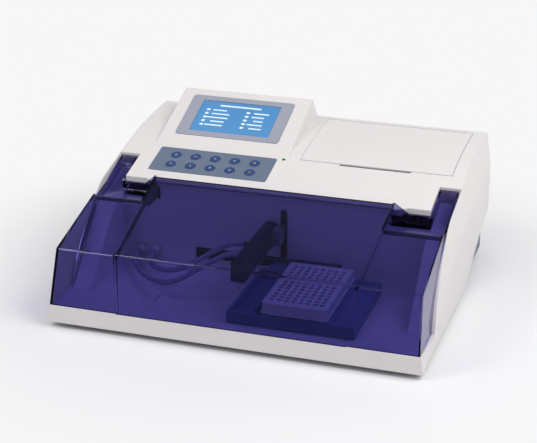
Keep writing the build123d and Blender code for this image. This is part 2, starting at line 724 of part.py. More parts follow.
def arm_inner_wall():
    """The upright inner wall of the right arm, with the bore for its hinge pin."""
    back = TIP_FRONT - COVER_GAP
    ring = [
        (back - COVER_SKIN, GUTTER_Z - COVER_SKIN), (ARM_REAR_Y, ARM_FLOOR_REAR_Z - COVER_SKIN),
        (ARM_REAR_Y, ARM_TOP_REAR_Z), (back, GUTTER_WALL_TOP + 3), (back - COVER_SKIN, GUTTER_WALL_TOP),
    ]
    wall = side_plate((ARM_INNER_X, ARM_INNER_X + COVER_SKIN), ring)
    bore = rod_x((ARM_INNER_X - 1, ARM_INNER_X + 2 * COVER_SKIN), HINGE_Y, HINGE_Z,
                 HINGE_PIN_RADIUS + HINGE_CLEARANCE)
    return wall - bore


def cover_side():
    """The right side wall, which stops just short of the housing's rail and goes on beside the arm."""
    foot = (COVER_FRONT_Y, COVER_FOOT)
    outline = [foot, COVER_CREASE, COVER_SHOULDER, *COVER_SIDE_DIP, (ARM_REAR_Y, ARM_TOP_REAR_Z - 1.0),
               (ARM_REAR_Y, ARM_FLOOR_REAR_Z - COVER_SKIN), (TIP_FRONT, GUTTER_Z - COVER_SKIN),
               (VALLEY_Y, VALLEY_Z - COVER_SKIN), (VALLEY_Y, COVER_FOOT)]
    wall = side_plate((0, HALF), outline) & between(side_x, side_x, -COVER_SKIN)
    tilt = math.radians(PANEL_TILT)
    gap = COVER_GAP
    rail = Spline(
        (RAIL_FOOT[0] - gap, COVER_FOOT - gap), (RAIL_KNEE[0] - gap, RAIL_KNEE[1] + gap),
        (RAIL_MID[0] - gap, RAIL_MID[1] + gap), (RAIL_HIGH[0], RAIL_HIGH[1] + gap),
        (PANEL_FRONT, PANEL_FRONT_Z + gap),
        tangents=[(0.25, 1.0), (math.cos(tilt), math.sin(tilt))],
    )
    behind = side_prism(
        (side_x(VALLEY_Z - COVER_SKIN), HALF + 1), rail,
        Line((PANEL_FRONT, PANEL_FRONT_Z + gap), (PANEL_FRONT, 0)),
        Line((PANEL_FRONT, 0), (RAIL_FOOT[0] - gap, 0)),
        Line((RAIL_FOOT[0] - gap, 0), (RAIL_FOOT[0] - gap, COVER_FOOT - gap)),
    )
    cheek = side_plate((0, side_x(VALLEY_Z - COVER_SKIN)), [
        (CHEEK_FOOT_Y - 4, 0), (CHEEK_FOOT_Y - 4, DECK_TOP), (CHEEK_KNEE[0] - 4, CHEEK_KNEE[1] + 2),
        (VALLEY_Y + 1, CHEEK_KNEE[1] + 2), (VALLEY_Y + 1, 0)])
    return wall - behind - cheek


def cover():
    """The tinted transparent cover, one moulding."""
    body = cover_bay()
    for piece in (cover_wing(), bay_side_wall(), gutter_corner(), arm_inner_wall(), cover_side()):
        body += both_sides(piece)
    return body & block((-HALF, HALF), (0, BODY_DEPTH), (COVER_FOOT, 2 * REAR_TOP))


def hinge_pins():
    """Two shouldered pins that the cover's arms turn on."""
    face = TIP_OUTER - POCKET_WALL
    head = rod_x((face - HINGE_HEAD_LENGTH, face), HINGE_Y, HINGE_Z, HINGE_HEAD_RADIUS)
    pin = rod_x((face, ARM_INNER_X + COVER_SKIN), HINGE_Y, HINGE_Z, HINGE_PIN_RADIUS)
    return both_sides(head + pin)


# Chamber

def chamber_liner():
    """The bulkhead behind the wash area and the two sloped cheeks beside it, one moulding."""
    back = BULKHEAD_BACK
    centre = block((-BULKHEAD_SIDE_X, BULKHEAD_SIDE_X), (PANEL_FRONT, back), (DECK_TOP, PANEL_FRONT_Z - SKIRT))
    sides = block((-CHEEK_OUTER_X, CHEEK_OUTER_X), (PANEL_FRONT, back), (DECK_TOP, BULKHEAD_SIDE_TOP - 2))
    slot = upright_slot(LIFT_SLOT_X, LIFT_SLOT_Z)
    traverse = block(CARRIAGE_SLOT_X, (PANEL_FRONT - 1, back + 1), CARRIAGE_SLOT_Z)
    ring = [(CHEEK_FOOT_Y, DECK_TOP), CHEEK_KNEE, CHEEK_SADDLE, CHEEK_REAR,
            (CHEEK_REAR[0], CHEEK_REAR[1] - CHEEK_REAR_DROP), (back, BULKHEAD_SIDE_TOP - 2 * CHEEK_REAR_DROP),
            (back, DECK_TOP)]
    cheek = side_plate((CHEEK_INNER_X, CHEEK_OUTER_X), ring)
    inner = make_face(Polyline(*ring, close=True))
    hollow = extrude(Plane.YZ.offset(CHEEK_INNER_X + BULKHEAD_WALL) * offset(inner, -BULKHEAD_WALL),
                     amount=HALF, dir=(1, 0, 0))
    ports = Part()
    for x in PORT_X:
        ports += rod_y(x, (PANEL_FRONT - 1, back + 1), PORT_Z, TUBE_RADIUS + SEAT_CLEARANCE)
    return centre + sides + both_sides(cheek - hollow) - slot - traverse - ports


def upright_slot(x, z):
    """The upright slot in the bulkhead that the lift arm runs in, with a round top."""
    width = x[1] - x[0]
    y = (PANEL_FRONT - 1, BULKHEAD_BACK + 1)
    middle = (x[0] + x[1]) / 2
    return block(x, y, (z[0] - 1, z[1] - width / 2)) + rod_y(middle, y, z[1] - width / 2, width / 2)


def wash_deck():
    """The floor of the chamber, with the shallow trough that the carrier runs over."""
    plate = block((-RAIL_INNER_X + 0.3, RAIL_INNER_X - 0.3), (RIM_WALL + 0.3, BULKHEAD_BACK),
                  (DECK_TOP - DECK_THICKNESS, DECK_TOP))
    radius = 18.0
    trough = plan_plate((DECK_TOP - TROUGH_DEPTH, DECK_TOP + 1), [
        (TROUGH_LEFT, TROUGH_FRONT), (TROUGH_RIGHT, TROUGH_FRONT),
        (TROUGH_RIGHT, TROUGH_BACK), (TROUGH_LEFT, TROUGH_BACK)], radius)
    posts = Part()
    for x in DECK_POSTS_X:
        for y in DECK_POSTS_Y:
            posts += rod_z(x, y, (pan_top(), DECK_TOP - DECK_THICKNESS), DECK_POST_RADIUS)
    return plate + posts - trough


# Control panel pieces

def display_bezel():
    """The grey frame round the screen, let into the pod's face."""
    base = pod_plane(BEZEL_CENTRE, -BEZEL_THICKNESS + SCREEN_INSET / 2)
    frame = plate_on(base, BEZEL_SIZE, BEZEL_THICKNESS, 5.0)
    window = plate_on(pod_plane(BEZEL_CENTRE, -3 * WALL), SCREEN_SIZE, 4 * WALL, 1.0)
    return frame - window


def screen():
    """The liquid crystal display, seated in the bezel's window."""
    rise = -BEZEL_THICKNESS + SCREEN_INSET / 2 - SCREEN_THICKNESS
    lip = plate_on(pod_plane(BEZEL_CENTRE, rise), (SCREEN_SIZE[0] + 2 * WALL, SCREEN_SIZE[1] + 2 * WALL),
                   SCREEN_THICKNESS)
    glass = plate_on(pod_plane(BEZEL_CENTRE, rise), (SCREEN_SIZE[0] - KEY_CLEARANCE, SCREEN_SIZE[1] - KEY_CLEARANCE),
                     SCREEN_THICKNESS + BEZEL_THICKNESS - SCREEN_INSET, 1.0)
    return lip + glass


def keypad_plate():
    """The slate membrane plate, with a hole round each key."""
    plate = plate_on(panel_plane(KEYPAD_CENTRE, -KEYPAD_THICKNESS), KEYPAD_SIZE, KEYPAD_THICKNESS + 0.4, 3.0)
    for place in key_places():
        hole = panel_plane(place, -2 * WALL) * Circle(KEY_RADIUS + KEY_CLEARANCE)
        plate -= extrude(hole, amount=4 * WALL)
    return plate


def key_board():
    """The circuit board below the keys, with a switch under each one."""
    size = (KEYPAD_SIZE[0] - 5 * WALL, KEYPAD_SIZE[1] - 3 * WALL)
    board = plate_on(panel_plane(KEYPAD_CENTRE, -KEY_BOARD_DROP - BOARD_THICKNESS), size, BOARD_THICKNESS)
    stem_height = KEY_BOARD_DROP - (KEY_HEIGHT - KEY_PROUD) - KEY_TRAVEL - KEY_CLEARANCE
    for place in key_places():
        board += extrude(panel_plane(place, -KEY_BOARD_DROP) * Circle(KEY_RADIUS / 2), amount=stem_height)
    posts = Part()
    for x in (-1, 1):
        for y in (-1, 1):
            place = panel_plane(KEYPAD_CENTRE, -KEY_BOARD_DROP)
            spot = place * Pos(x * (size[0] / 2 - WALL), y * (size[1] / 2 - WALL)) * Circle(WALL / 2)
            posts += extrude(spot, amount=KEY_BOARD_DROP - KEYPAD_THICKNESS)
    return board + posts


def key(place):
    """One round key: a low domed cap with a flange that holds it under the plate."""
    foot = KEY_PROUD - KEY_HEIGHT
    cap = extrude(panel_plane(place, foot) * Circle(KEY_RADIUS), amount=KEY_HEIGHT)
    rim = cap.edges().group_by(Axis(origin=(0, 0, 0), direction=panel_plane(place).z_dir))[-1]
    cap = fillet(rim, KEY_PROUD / 2)
    flange = extrude(panel_plane(place, foot) * Circle(KEY_RADIUS + KEY_FLANGE), amount=KEY_FLANGE)
    return cap + flange


def status_lamp():
    """The round indicator lamp beside the keypad."""
    body = extrude(panel_plane(LAMP_PLACE, -2 * WALL) * Circle(LAMP_RADIUS), amount=2 * WALL + 0.3)
    return body + extrude(panel_plane(LAMP_PLACE, -2 * WALL) * Circle(LAMP_RADIUS + 1.0), amount=WALL - 0.2)


# Printer

def paper_lid():
    """The curved lid over the paper, with a round hinge barrel along its rear edge."""
    x = (PAPER_LID_X[0] + PAPER_LID_GAP, PAPER_LID_X[1] - PAPER_LID_GAP)
    lid = side_prism(x, *lid_ring()) + rod_x(x, *PAPER_HINGE, PAPER_BARREL)
    for end in (x[0], x[1]):
        lid -= rod_x((end - PAPER_BARREL, end + PAPER_BARREL), *PAPER_HINGE, PAPER_PIN_RADIUS + HINGE_CLEARANCE)
    return lid


def lid_ring():
    """The paper lid's section: the top's own curve, a little proud, and the same curve below it."""
    edges = []
    ends = []
    front_y = PAPER_LID_FRONT + PAPER_LID_GAP
    for rise in (PAPER_LID_PROUD, PAPER_LID_PROUD - PAPER_LID_SKIN):
        front = (front_y, panel_z(front_y) + rise)
        rear = (PAPER_HINGE[0], REAR_TOP + rise)
        edges.append(Spline(front, (TOP_MID[0], TOP_MID[1] + rise), (TOP_BACK[0], TOP_BACK[1] + rise), rear))
        ends.append((front, rear))
    edges.append(Line(ends[0][0], ends[1][0]))
    edges.append(Line(ends[0][1], ends[1][1]))
    return edges


def paper_pins():
    """The two pins of the paper lid's hinge."""
    pins = Part()
    for x in ((PAPER_LID_X[0] - WALL, PAPER_LID_X[0] + PAPER_LID_GAP + WALL),
              (PAPER_LID_X[1] - PAPER_LID_GAP - WALL, PAPER_LID_X[1] + WALL)):
        pins += rod_x(x, *PAPER_HINGE, PAPER_PIN_RADIUS)
    return pins


def printer_frame():
    """The open trough that carries the paper roll and the platen, on four legs."""
    x = printer_span()
    roll_y, roll_z = PAPER_ROLL_PLACE
    front_y = PLATEN_PLACE[0] - PLATEN_RADIUS - PRINTER_WALL - 1.0
    low = roll_z - PAPER_ROLL_RADIUS - PRINTER_WALL - 4.0
    reach = PAPER_ROLL_RADIUS + 6.0
    cradle = [
        (front_y, PLATEN_PLACE[1] - 16), (front_y, PLATEN_PLACE[1] + 8), (PLATEN_PLACE[0] + 8, PLATEN_PLACE[1] + 11),
        (roll_y + reach, roll_z + PAPER_ROLL_RADIUS), (roll_y + reach, low), (roll_y - reach, low),
    ]
    inner = make_face(Polyline(*cradle, close=True))
    room = Plane.YZ.offset(x[0] + PRINTER_WALL) * offset(inner, -PRINTER_WALL)
    mouth = block((x[0] + PRINTER_WALL, x[1] - PRINTER_WALL), (PLATEN_PLACE[0] - 3, roll_y + reach - PRINTER_WALL),
                  (PLATEN_PLACE[1], REAR_TOP))
    body = side_plate(x, cradle) - extrude(room, amount=x[1] - x[0] - 2 * PRINTER_WALL, dir=(1, 0, 0)) - mouth
    for place, radius in ((PLATEN_PLACE, PLATEN_SHAFT), (PAPER_ROLL_PLACE, PAPER_ROLL_SPINDLE)):
        body -= rod_x((x[0] - 1, x[1] + 1), *place, radius + SLIDE_CLEARANCE)
    for leg_x in (x[0] + PRINTER_LEG, x[1] - PRINTER_LEG):
        for leg_y in (roll_y - PAPER_ROLL_RADIUS, roll_y + PAPER_ROLL_RADIUS):
            body += rod_z(leg_x, leg_y, (pan_top(), low), PRINTER_LEG)
    return body


def printer_span():
    """The printer frame's two side faces along X."""
    middle = (PAPER_LID_X[0] + PAPER_LID_X[1]) / 2
    return (middle - PAPER_WIDTH / 2 - 6, middle + PAPER_WIDTH / 2 + 6)


def platen_roller():
    """The rubber roller that feeds the paper, on its steel shaft."""
    x = printer_span()
    inset = PRINTER_WALL + 1.5
    shaft = rod_x((x[0] - 4, x[1] + 4), *PLATEN_PLACE, PLATEN_SHAFT)
    return shaft + rod_x((x[0] + inset, x[1] - inset), *PLATEN_PLACE, PLATEN_RADIUS)


def paper_roll():
    """The roll of thermal paper on its spindle."""
    x = printer_span()
    inset = PRINTER_WALL + 2.5
    spindle = rod_x((x[0] - 2, x[1] + 2), *PAPER_ROLL_PLACE, PAPER_ROLL_SPINDLE)
    return spindle + rod_x((x[0] + inset, x[1] - inset), *PAPER_ROLL_PLACE, PAPER_ROLL_RADIUS)


# Plate carrier and plate

def plate_carrier():
    """The carrier: bath on the left, ridge, plate seat, and the tongue that passes the bulkhead."""
    body = block(CARRIER_X, CARRIER_Y, CARRIER_Z)
    body -= block(BATH_X, BATH_Y, (BATH_FLOOR, CARRIER_Z[1] + 1))
    seat_x = plate_span_x()
    seat_y = plate_span_y()
    clear = KEY_CLEARANCE
    body -= block((RIDGE_X[1], seat_x[1] + clear), (seat_y[0] - clear, seat_y[1] + clear),
                  (CARRIER_Z[1] - RECESS_DEPTH, CARRIER_Z[1] + 1))
    body -= block(RECESS_X, (CARRIER_Y[0] + 8, CARRIER_Y[1] - 6), (CARRIER_Z[1] - RECESS_DEPTH, CARRIER_Z[1] + 1))
    ridge = front_plate((BATH_Y[0], CARRIER_Y[1]), [
        (RIDGE_X[0], CARRIER_Z[1]), (RIDGE_X[1], CARRIER_Z[1]), (RIDGE_X[1] - 1, RIDGE_TOP), (RIDGE_X[0] + 1, RIDGE_TOP)])
    lands = Part()
    for x in (seat_x[0], seat_x[1] - 12):
        for y in (seat_y[0], seat_y[1] - 14):
            lands += block((x, x + 12), (y, y + 14), (CARRIER_Z[1] - RECESS_DEPTH, PLATE_SEAT))
    tongue = block(TONGUE_X, (CARRIER_Y[1], BRACKET_Y[0]), TONGUE_Z)
    return body + ridge + lands + tongue


def plate_span_x():
    """The microplate's limits along X."""
    return (PLATE_PLACE[0] - PLATE_WIDTH / 2, PLATE_PLACE[0] + PLATE_WIDTH / 2)


def plate_span_y():
    """The microplate's limits along Y."""
    return (PLATE_PLACE[1] - PLATE_LENGTH / 2, PLATE_PLACE[1] + PLATE_LENGTH / 2)


def microplate():
    """The 96-well plate: a stepped skirt and a grid of round wells."""
    x, y = plate_span_x(), plate_span_y()
    flange = block(x, y, (PLATE_SEAT, PLATE_SEAT + PLATE_FLANGE))
    flange = fillet(flange.edges().filter_by(Axis.Z), 3.2)
    step = PLATE_STEP
    body = block((x[0] + step, x[1] - step), (y[0] + step, y[1] - step), (PLATE_SEAT, PLATE_SEAT + PLATE_HEIGHT))
    body = chamfer(body.edges().filter_by(Axis.Z).sort_by(Axis.Y)[:2], 3.5)
    plate = flange + body
    wells = Part()
    top = PLATE_SEAT + PLATE_HEIGHT
    for column in range(WELL_ROWS):
        for row in range(WELL_COLUMNS):
            wx = PLATE_PLACE[0] + (column - (WELL_ROWS - 1) / 2) * WELL_PITCH
            wy = PLATE_PLACE[1] + (row - (WELL_COLUMNS - 1) / 2) * WELL_PITCH
            wells += rod_z(wx, wy, (top - WELL_DEPTH, top + 1), WELL_RADIUS)
    return plate - wells


def carriage_bracket():
    """The slide block behind the bulkhead: it runs on the two guide bars and grips the belt."""
    body = block(BRACKET_X, BRACKET_Y, BRACKET_Z)
    for y in GUIDE_Y:
        body -= rod_x((BRACKET_X[0] - 1, BRACKET_X[1] + 1), y, GUIDE_Z, GUIDE_RADIUS + SLIDE_CLEARANCE)
    belt_top = PULLEY_Z + PULLEY_RADIUS + BELT_THICKNESS
    web_y = BELT_Y - BELT_WIDTH / 2 - 1.0
    body -= block((BRACKET_X[0] - 1, BRACKET_X[1] + 1), (web_y, BRACKET_Y[1] + 1), (BRACKET_Z[0] - 1, PULLEY_Z + 6.0))
    jaw_x = (BRACKET_X[0] + 20, BRACKET_X[1] - 20)
    jaw = block(jaw_x, (web_y - 4.0, BRACKET_Y[1]), (belt_top + BELT_GAP, belt_top + 4.0))
    return body + jaw + block(jaw_x, (web_y - 4.0, web_y), (BRACKET_Z[1] - 1, belt_top + 4.0))


def guide_bars():
    """The two ground steel bars that the bracket slides on."""
    bars = Part()
    for y in GUIDE_Y:
        bars += rod_x(GUIDE_X, y, GUIDE_Z, GUIDE_RADIUS)
    return bars


def bar_supports():
    """The two end blocks that hold the guide bars."""
    blocks = Part()
    for x in ((GUIDE_X[0], GUIDE_X[0] + 10), (GUIDE_X[1] - 10, GUIDE_X[1])):
        piece = block(x, (GUIDE_Y[0] - 8, GUIDE_Y[1] + 4), (pan_top(), GUIDE_Z + 8))
        for y in GUIDE_Y:
            piece -= rod_x((x[0] - 1, x[1] + 1), y, GUIDE_Z, GUIDE_RADIUS + SEAT_CLEARANCE)
        blocks += piece
    return blocks


def drive_belt():
    """The closed belt round the two pulleys."""
    y = (BELT_Y - BELT_WIDTH / 2, BELT_Y + BELT_WIDTH / 2)
    loops = []
    for radius in (PULLEY_RADIUS + BELT_THICKNESS, PULLEY_RADIUS + SEAT_CLEARANCE):
        loop = block((PULLEY_X[0], PULLEY_X[1]), y, (PULLEY_Z - radius, PULLEY_Z + radius))
        for x in PULLEY_X:
            loop += rod_y(x, y, PULLEY_Z, radius)
        loops.append(loop)
    return loops[0] - loops[1]


def pulley(x, shaft_reach):
    """A flanged belt pulley on its own shaft stub."""
    half = BELT_WIDTH / 2 + 0.4
    body = rod_y(x, (BELT_Y - half, BELT_Y + half), PULLEY_Z, PULLEY_RADIUS)
    for y in (BELT_Y - half - 1.2, BELT_Y + half):
        body += rod_y(x, (y, y + 1.2), PULLEY_Z, PULLEY_RADIUS + BELT_THICKNESS + 0.8)
    return body + rod_y(x, (BELT_Y - half - 1.2, BELT_Y + half + shaft_reach), PULLEY_Z, PULLEY_BORE)


def motor_face_y():
    """Front face of the traverse motor."""
    return BELT_Y + BELT_WIDTH / 2 + 4.0


def traverse_motor():
    """The square stepper motor that turns the drive pulley."""
    x = (PULLEY_X[1] - FRAME_MOTOR / 2, PULLEY_X[1] + FRAME_MOTOR / 2)
    y = (motor_face_y(), motor_face_y() + FRAME_MOTOR_LENGTH)
    z = (PULLEY_Z - FRAME_MOTOR / 2, PULLEY_Z + FRAME_MOTOR / 2)
    body = block(x, y, z)
    body = chamfer(body.edges().filter_by(Axis.Y), 4.0)
    return body - rod_y(PULLEY_X[1], (y[0] - 1, y[0] + 14), PULLEY_Z, PULLEY_BORE + SLIDE_CLEARANCE)


def motor_stand():
    """The bent plate that carries the traverse motor on the chassis."""
    x = (PULLEY_X[1] - FRAME_MOTOR / 2 - 2, PULLEY_X[1] + FRAME_MOTOR / 2 + 2)
    y = motor_face_y()
    foot = block(x, (y, y + FRAME_MOTOR_LENGTH), (pan_top(), pan_top() + 2))
    cradle = block(x, (y + 6, y + FRAME_MOTOR_LENGTH - 6), (pan_top(), PULLEY_Z - FRAME_MOTOR / 2))
    return foot + cradle


def idler_post():
    """The post with the pin that the idler pulley turns on."""
    x = (PULLEY_X[0] - 8, PULLEY_X[0] + 8)
    y = (BELT_Y + BELT_WIDTH / 2 + 2.5, BELT_Y + BELT_WIDTH / 2 + 12.5)
    post = block(x, y, (pan_top(), PULLEY_Z + 8))
    return post - rod_y(PULLEY_X[0], (y[0] - 1, y[1] + 1), PULLEY_Z, PULLEY_BORE + SLIDE_CLEARANCE)


# Lift and wash head

def lift_screw_x():
    """The lift column's limits along X."""
    return (LIFT_COLUMN[0] - LIFT_BLOCK[0] / 2, LIFT_COLUMN[0] + LIFT_BLOCK[0] / 2)


def lift_frame():
    """The bracket of the lift: base, crown and back plate round the guide rods."""
    x = lift_screw_x()
    y = (LIFT_COLUMN[1] - LIFT_BLOCK[1] / 2 - 2, LIFT_COLUMN[1] + LIFT_BLOCK[1] / 2 + 2)
    back = block(x, (y[1], y[1] + LIFT_BACK), (pan_top(), LIFT_CROWN_Z[1]))
    body = back + block(x, y, LIFT_BASE_Z) + block(x, y, LIFT_CROWN_Z)
    for side in (-1, 1):
        rx = LIFT_COLUMN[0] + side * LIFT_ROD_SPREAD
        body -= rod_z(rx, LIFT_COLUMN[1], (LIFT_BASE_Z[0] - 1, LIFT_CROWN_Z[1] + 1), LIFT_ROD_RADIUS + SEAT_CLEARANCE)
    body -= rod_z(*LIFT_COLUMN, (LIFT_BASE_Z[0] - 1, LIFT_CROWN_Z[1] + 1), LIFT_SCREW_RADIUS + SLIDE_CLEARANCE)
    return body


def lift_rods():
    """The two upright guide rods."""
    rods = Part()
    for side in (-1, 1):
        rods += rod_z(LIFT_COLUMN[0] + side * LIFT_ROD_SPREAD, LIFT_COLUMN[1], (LIFT_BASE_Z[0], LIFT_CROWN_Z[1]),
                      LIFT_ROD_RADIUS)
    return rods


def lift_screw():
    """The lead screw, which turns in the frame and drives the lift block."""
    return rod_z(*LIFT_COLUMN, (LIFT_BASE_Z[0] - 8, LIFT_CROWN_Z[1] + 1), LIFT_SCREW_RADIUS)


def lift_motor():
    """The stepper motor under the lift frame."""
    half = LIFT_MOTOR / 2
    body = block((LIFT_COLUMN[0] - half, LIFT_COLUMN[0] + half), (LIFT_COLUMN[1] - half, LIFT_COLUMN[1] + half - 7.0),
                 (pan_top() + 2, LIFT_BASE_Z[0]))
    body = chamfer(body.edges().filter_by(Axis.Z), 3.0)
    foot = block((LIFT_COLUMN[0] - half + 4, LIFT_COLUMN[0] + half - 4),
                 (LIFT_COLUMN[1] - half + 4, LIFT_COLUMN[1] + half - 11.0), (pan_top(), pan_top() + 2))
    bore = rod_z(*LIFT_COLUMN, (LIFT_BASE_Z[0] - 8.5, LIFT_BASE_Z[0] + 1), LIFT_SCREW_RADIUS + SLIDE_CLEARANCE)
    return body + foot - bore


def lift_arm():
    """The block on the lift's rods, and the arm that reaches through the bulkhead to the head."""
    x = lift_screw_x()
    y = (LIFT_COLUMN[1] - LIFT_BLOCK[1] / 2, LIFT_COLUMN[1] + LIFT_BLOCK[1] / 2)
    body = block((x[0] + 2, x[1] - 2), y, LIFT_BLOCK_Z)
    for side in (-1, 1):
        rx = LIFT_COLUMN[0] + side * LIFT_ROD_SPREAD
        body -= rod_z(rx, LIFT_COLUMN[1], (LIFT_BLOCK_Z[0] - 1, LIFT_BLOCK_Z[1] + 1), LIFT_ROD_RADIUS + SLIDE_CLEARANCE)
    body -= rod_z(*LIFT_COLUMN, (LIFT_BLOCK_Z[0] - 1, LIFT_BLOCK_Z[1] + 1), LIFT_SCREW_RADIUS + SLIDE_CLEARANCE)
    pad_y = (HEAD_Y[1] - HEAD_PAD_REST - HEAD_PAD_LENGTH, HEAD_Y[1] - HEAD_PAD_REST)
    arm = block(ARM_X, (pad_y[0], y[0]), ARM_Z)
    pad = block((HEAD_X[1], ARM_X[0]), pad_y, ARM_Z)
    return body + arm + pad


def needle_places(x):
    """Centres of a row of needles along Y."""
    return [(x, PLATE_PLACE[1] + (i - (NEEDLE_COUNT - 1) / 2) * WELL_PITCH) for i in range(NEEDLE_COUNT)]


def wash_head():
    """The manifold bar: bevelled along its top and at its nose, with blind needle holes and two nipples."""
    c = HEAD_CHAMFER
    body = front_plate(HEAD_Y, [
        (HEAD_X[0], HEAD_Z[0]), (HEAD_X[1], HEAD_Z[0]), (HEAD_X[1], HEAD_Z[1] - c), (HEAD_X[1] - c, HEAD_Z[1]),
        (HEAD_X[0] + c, HEAD_Z[1]), (HEAD_X[0], HEAD_Z[1] - c)])
    length, depth = HEAD_NOSE
    front, top = HEAD_Y[0], HEAD_Z[1]
    body -= side_plate((HEAD_X[0] - 1, HEAD_X[1] + 1), [
        (front - 1, top - depth), (front, top - depth), (front + length, top), (front + length, top + 1),
        (front - 1, top + 1)])
    for x in NEEDLE_X:
        for place in needle_places(x):
            body -= rod_z(*place, (HEAD_Z[0] - 1, HEAD_Z[0] + 6), NEEDLE_RADIUS + SEAT_CLEARANCE)
    for y, z in HEAD_NIPPLES:
        body += rod_x((HEAD_X[0] - PORT_REACH, HEAD_X[0]), y, z, TUBE_RADIUS)
    for y in HEAD_SCREWS_Y:
        body -= rod_x((HEAD_X[1] - 2.5, HEAD_X[1] + 1), y, (HEAD_Z[0] + HEAD_Z[1]) / 2, SCREW_HEAD / 2 + 1.0)
    return body


def needles(x, tip):
    """One row of twelve steel needles."""
    row = Part()
    for place in needle_places(x):
        row += rod_z(*place, (tip, HEAD_Z[0] + 6), NEEDLE_RADIUS)
    return row


# Ports and tubes

def port_plate():
    """The small plate on the bulkhead that carries the two tube ports."""
    y = (PANEL_FRONT - PORT_PLATE_THICKNESS, PANEL_FRONT)
    plate = block(PORT_PLATE_X, y, PORT_PLATE_Z)
    plate = fillet(plate.edges().filter_by(Axis.Y), 4.0)
    for x in PORT_X:
        plate -= rod_y(x, (y[0] - 1, y[1] + 1), PORT_Z, TUBE_RADIUS + SEAT_CLEARANCE)
    return plate


def port(x):
    """A tube port: a collar in front of the plate on a stem that passes the bulkhead."""
    front = PANEL_FRONT - PORT_PLATE_THICKNESS
    stem = rod_y(x, (front, BULKHEAD_BACK + PORT_REACH), PORT_Z, TUBE_RADIUS)
    return stem + rod_y(x, (front - PORT_REACH, front), PORT_Z, PORT_RADIUS)


def tube(route):
    """A soft tube that follows its route in straight runs joined by arcs as large as they allow."""
    radii = bend_radii(route)
    path = FilletPolyline(*route, radius=radii)
    section = Plane(origin=path @ 0, z_dir=path % 0) * Circle(TUBE_RADIUS)
    body = sweep(section, path=path)
    expected = section.area * path.length
    print("tube radii", [round(r, 1) for r in radii], "length", round(path.length, 1),
          "volume share", round(body.volume / expected, 4))
    return body


def bend_radii(route):
    """Each corner's radius: 0.45 of the shorter run over the tangent of half the turn."""
    points = [Vector(*p) for p in route]
    radii = []
    for before, corner, after in zip(points, points[1:], points[2:]):
        run_in, run_out = corner - before, after - corner
        turn = math.radians(run_in.get_angle(run_out))
        radii.append(0.45 * min(run_in.length, run_out.length) / math.tan(turn / 2))
    return radii


# Chassis

def pan_top():
    """Height of the pan's upper face."""
    return PAN_SHEET


def chassis_pan():
    """The bent sheet pan under the housing, with low sides that rise to the rear wall."""
    inner = PAN_SIDE_X - PAN_SHEET
    side = [(PAN_FRONT, 0), (PAN_REAR, 0), (PAN_REAR, PAN_REAR_TOP), (SWEEP_MID[0], SWEEP_MID[1] + PAN_WALL),
            (SWEEP_START, PAN_WALL), (PAN_FRONT, PAN_WALL)]
    floor = block((-PAN_SIDE_X, PAN_SIDE_X), (PAN_FRONT, PAN_REAR), (0, PAN_SHEET))
    rear = block((-PAN_SIDE_X, PAN_SIDE_X), (PAN_REAR - PAN_SHEET, PAN_REAR), (0, PAN_REAR_TOP))
    pan = floor + rear + both_sides(side_plate((inner, PAN_SIDE_X), side))
    for x, y in boss_places():
        pan -= rod_z(x, y, (-1, PAN_SHEET + 1), SCREW_RADIUS + KEY_CLEARANCE)
    return pan - rear_holes()


def rear_holes():
    """The cut-outs in the pan's rear wall for the inlet, the switch, the serial socket and the hoses."""
    y = (PAN_REAR - 2 * PAN_SHEET, PAN_REAR + 1)
    holes = Part()
    for place, size in ((INLET_PLACE, INLET_SIZE), (SWITCH_PLACE, SWITCH_SIZE), (SERIAL_PLACE, SERIAL_SIZE)):
        holes += framed(place, size, y)
    for x in HOSE_PLACES:
        holes += rod_y(x, y, HOSE_Z, HOSE_RADIUS + SEAT_CLEARANCE)
    return holes


def framed(place, size, y, grow=0.0):
    """A block along Y centred on a place in the rear wall."""
    half_x, half_z = size[0] / 2 + grow, size[1] / 2 + grow
    return block((place[0] - half_x, place[0] + half_x), y, (place[1] - half_z, place[1] + half_z))


def rubber_feet():
    """The four round feet, a little wider at the bottom."""
    feet = Part()
    for x in (-HALF + FOOT_INSET_X, HALF - FOOT_INSET_X):
        for y in (FOOT_INSET_Y, BODY_DEPTH - FOOT_INSET_Y):
            cone = Cone(FOOT_RADIUS, FOOT_RADIUS - 1.5, FOOT_HEIGHT)
            feet += Pos(x, y, -FOOT_HEIGHT / 2) * cone
    return feet


def chassis_screws():
    """The six screws that hold the housing to the pan from below."""
    screws = Part()
    for x, y in boss_places():
        screws += rod_z(x, y, (0, PAN_WALL - 1), SCREW_RADIUS)
        screws += rod_z(x, y, (-SCREW_HEAD_HEIGHT, 0), SCREW_HEAD)
    return screws


# Back of the base

def power_inlet():
    """The mains inlet: a flanged socket with three blades inside."""
    clear = KEY_CLEARANCE
    y_inside = PAN_REAR - 22.0
    body = framed(INLET_PLACE, INLET_SIZE, (y_inside, PAN_REAR), -clear)
    body += framed(INLET_PLACE, INLET_SIZE, (PAN_REAR, PAN_REAR + 2.0), 3.0)
    body -= framed(INLET_PLACE, INLET_SIZE, (y_inside + 3.0, PAN_REAR + 3.0), -2.5)
    for offset_x in (-7.0, 0.0, 7.0):
        rise = 2.0 if offset_x == 0.0 else -1.0
        place = (INLET_PLACE[0] + offset_x, INLET_PLACE[1] + rise)
        body += framed(place, (2.0, 4.0), (y_inside + 3.0, PAN_REAR - 3.0))
    return body


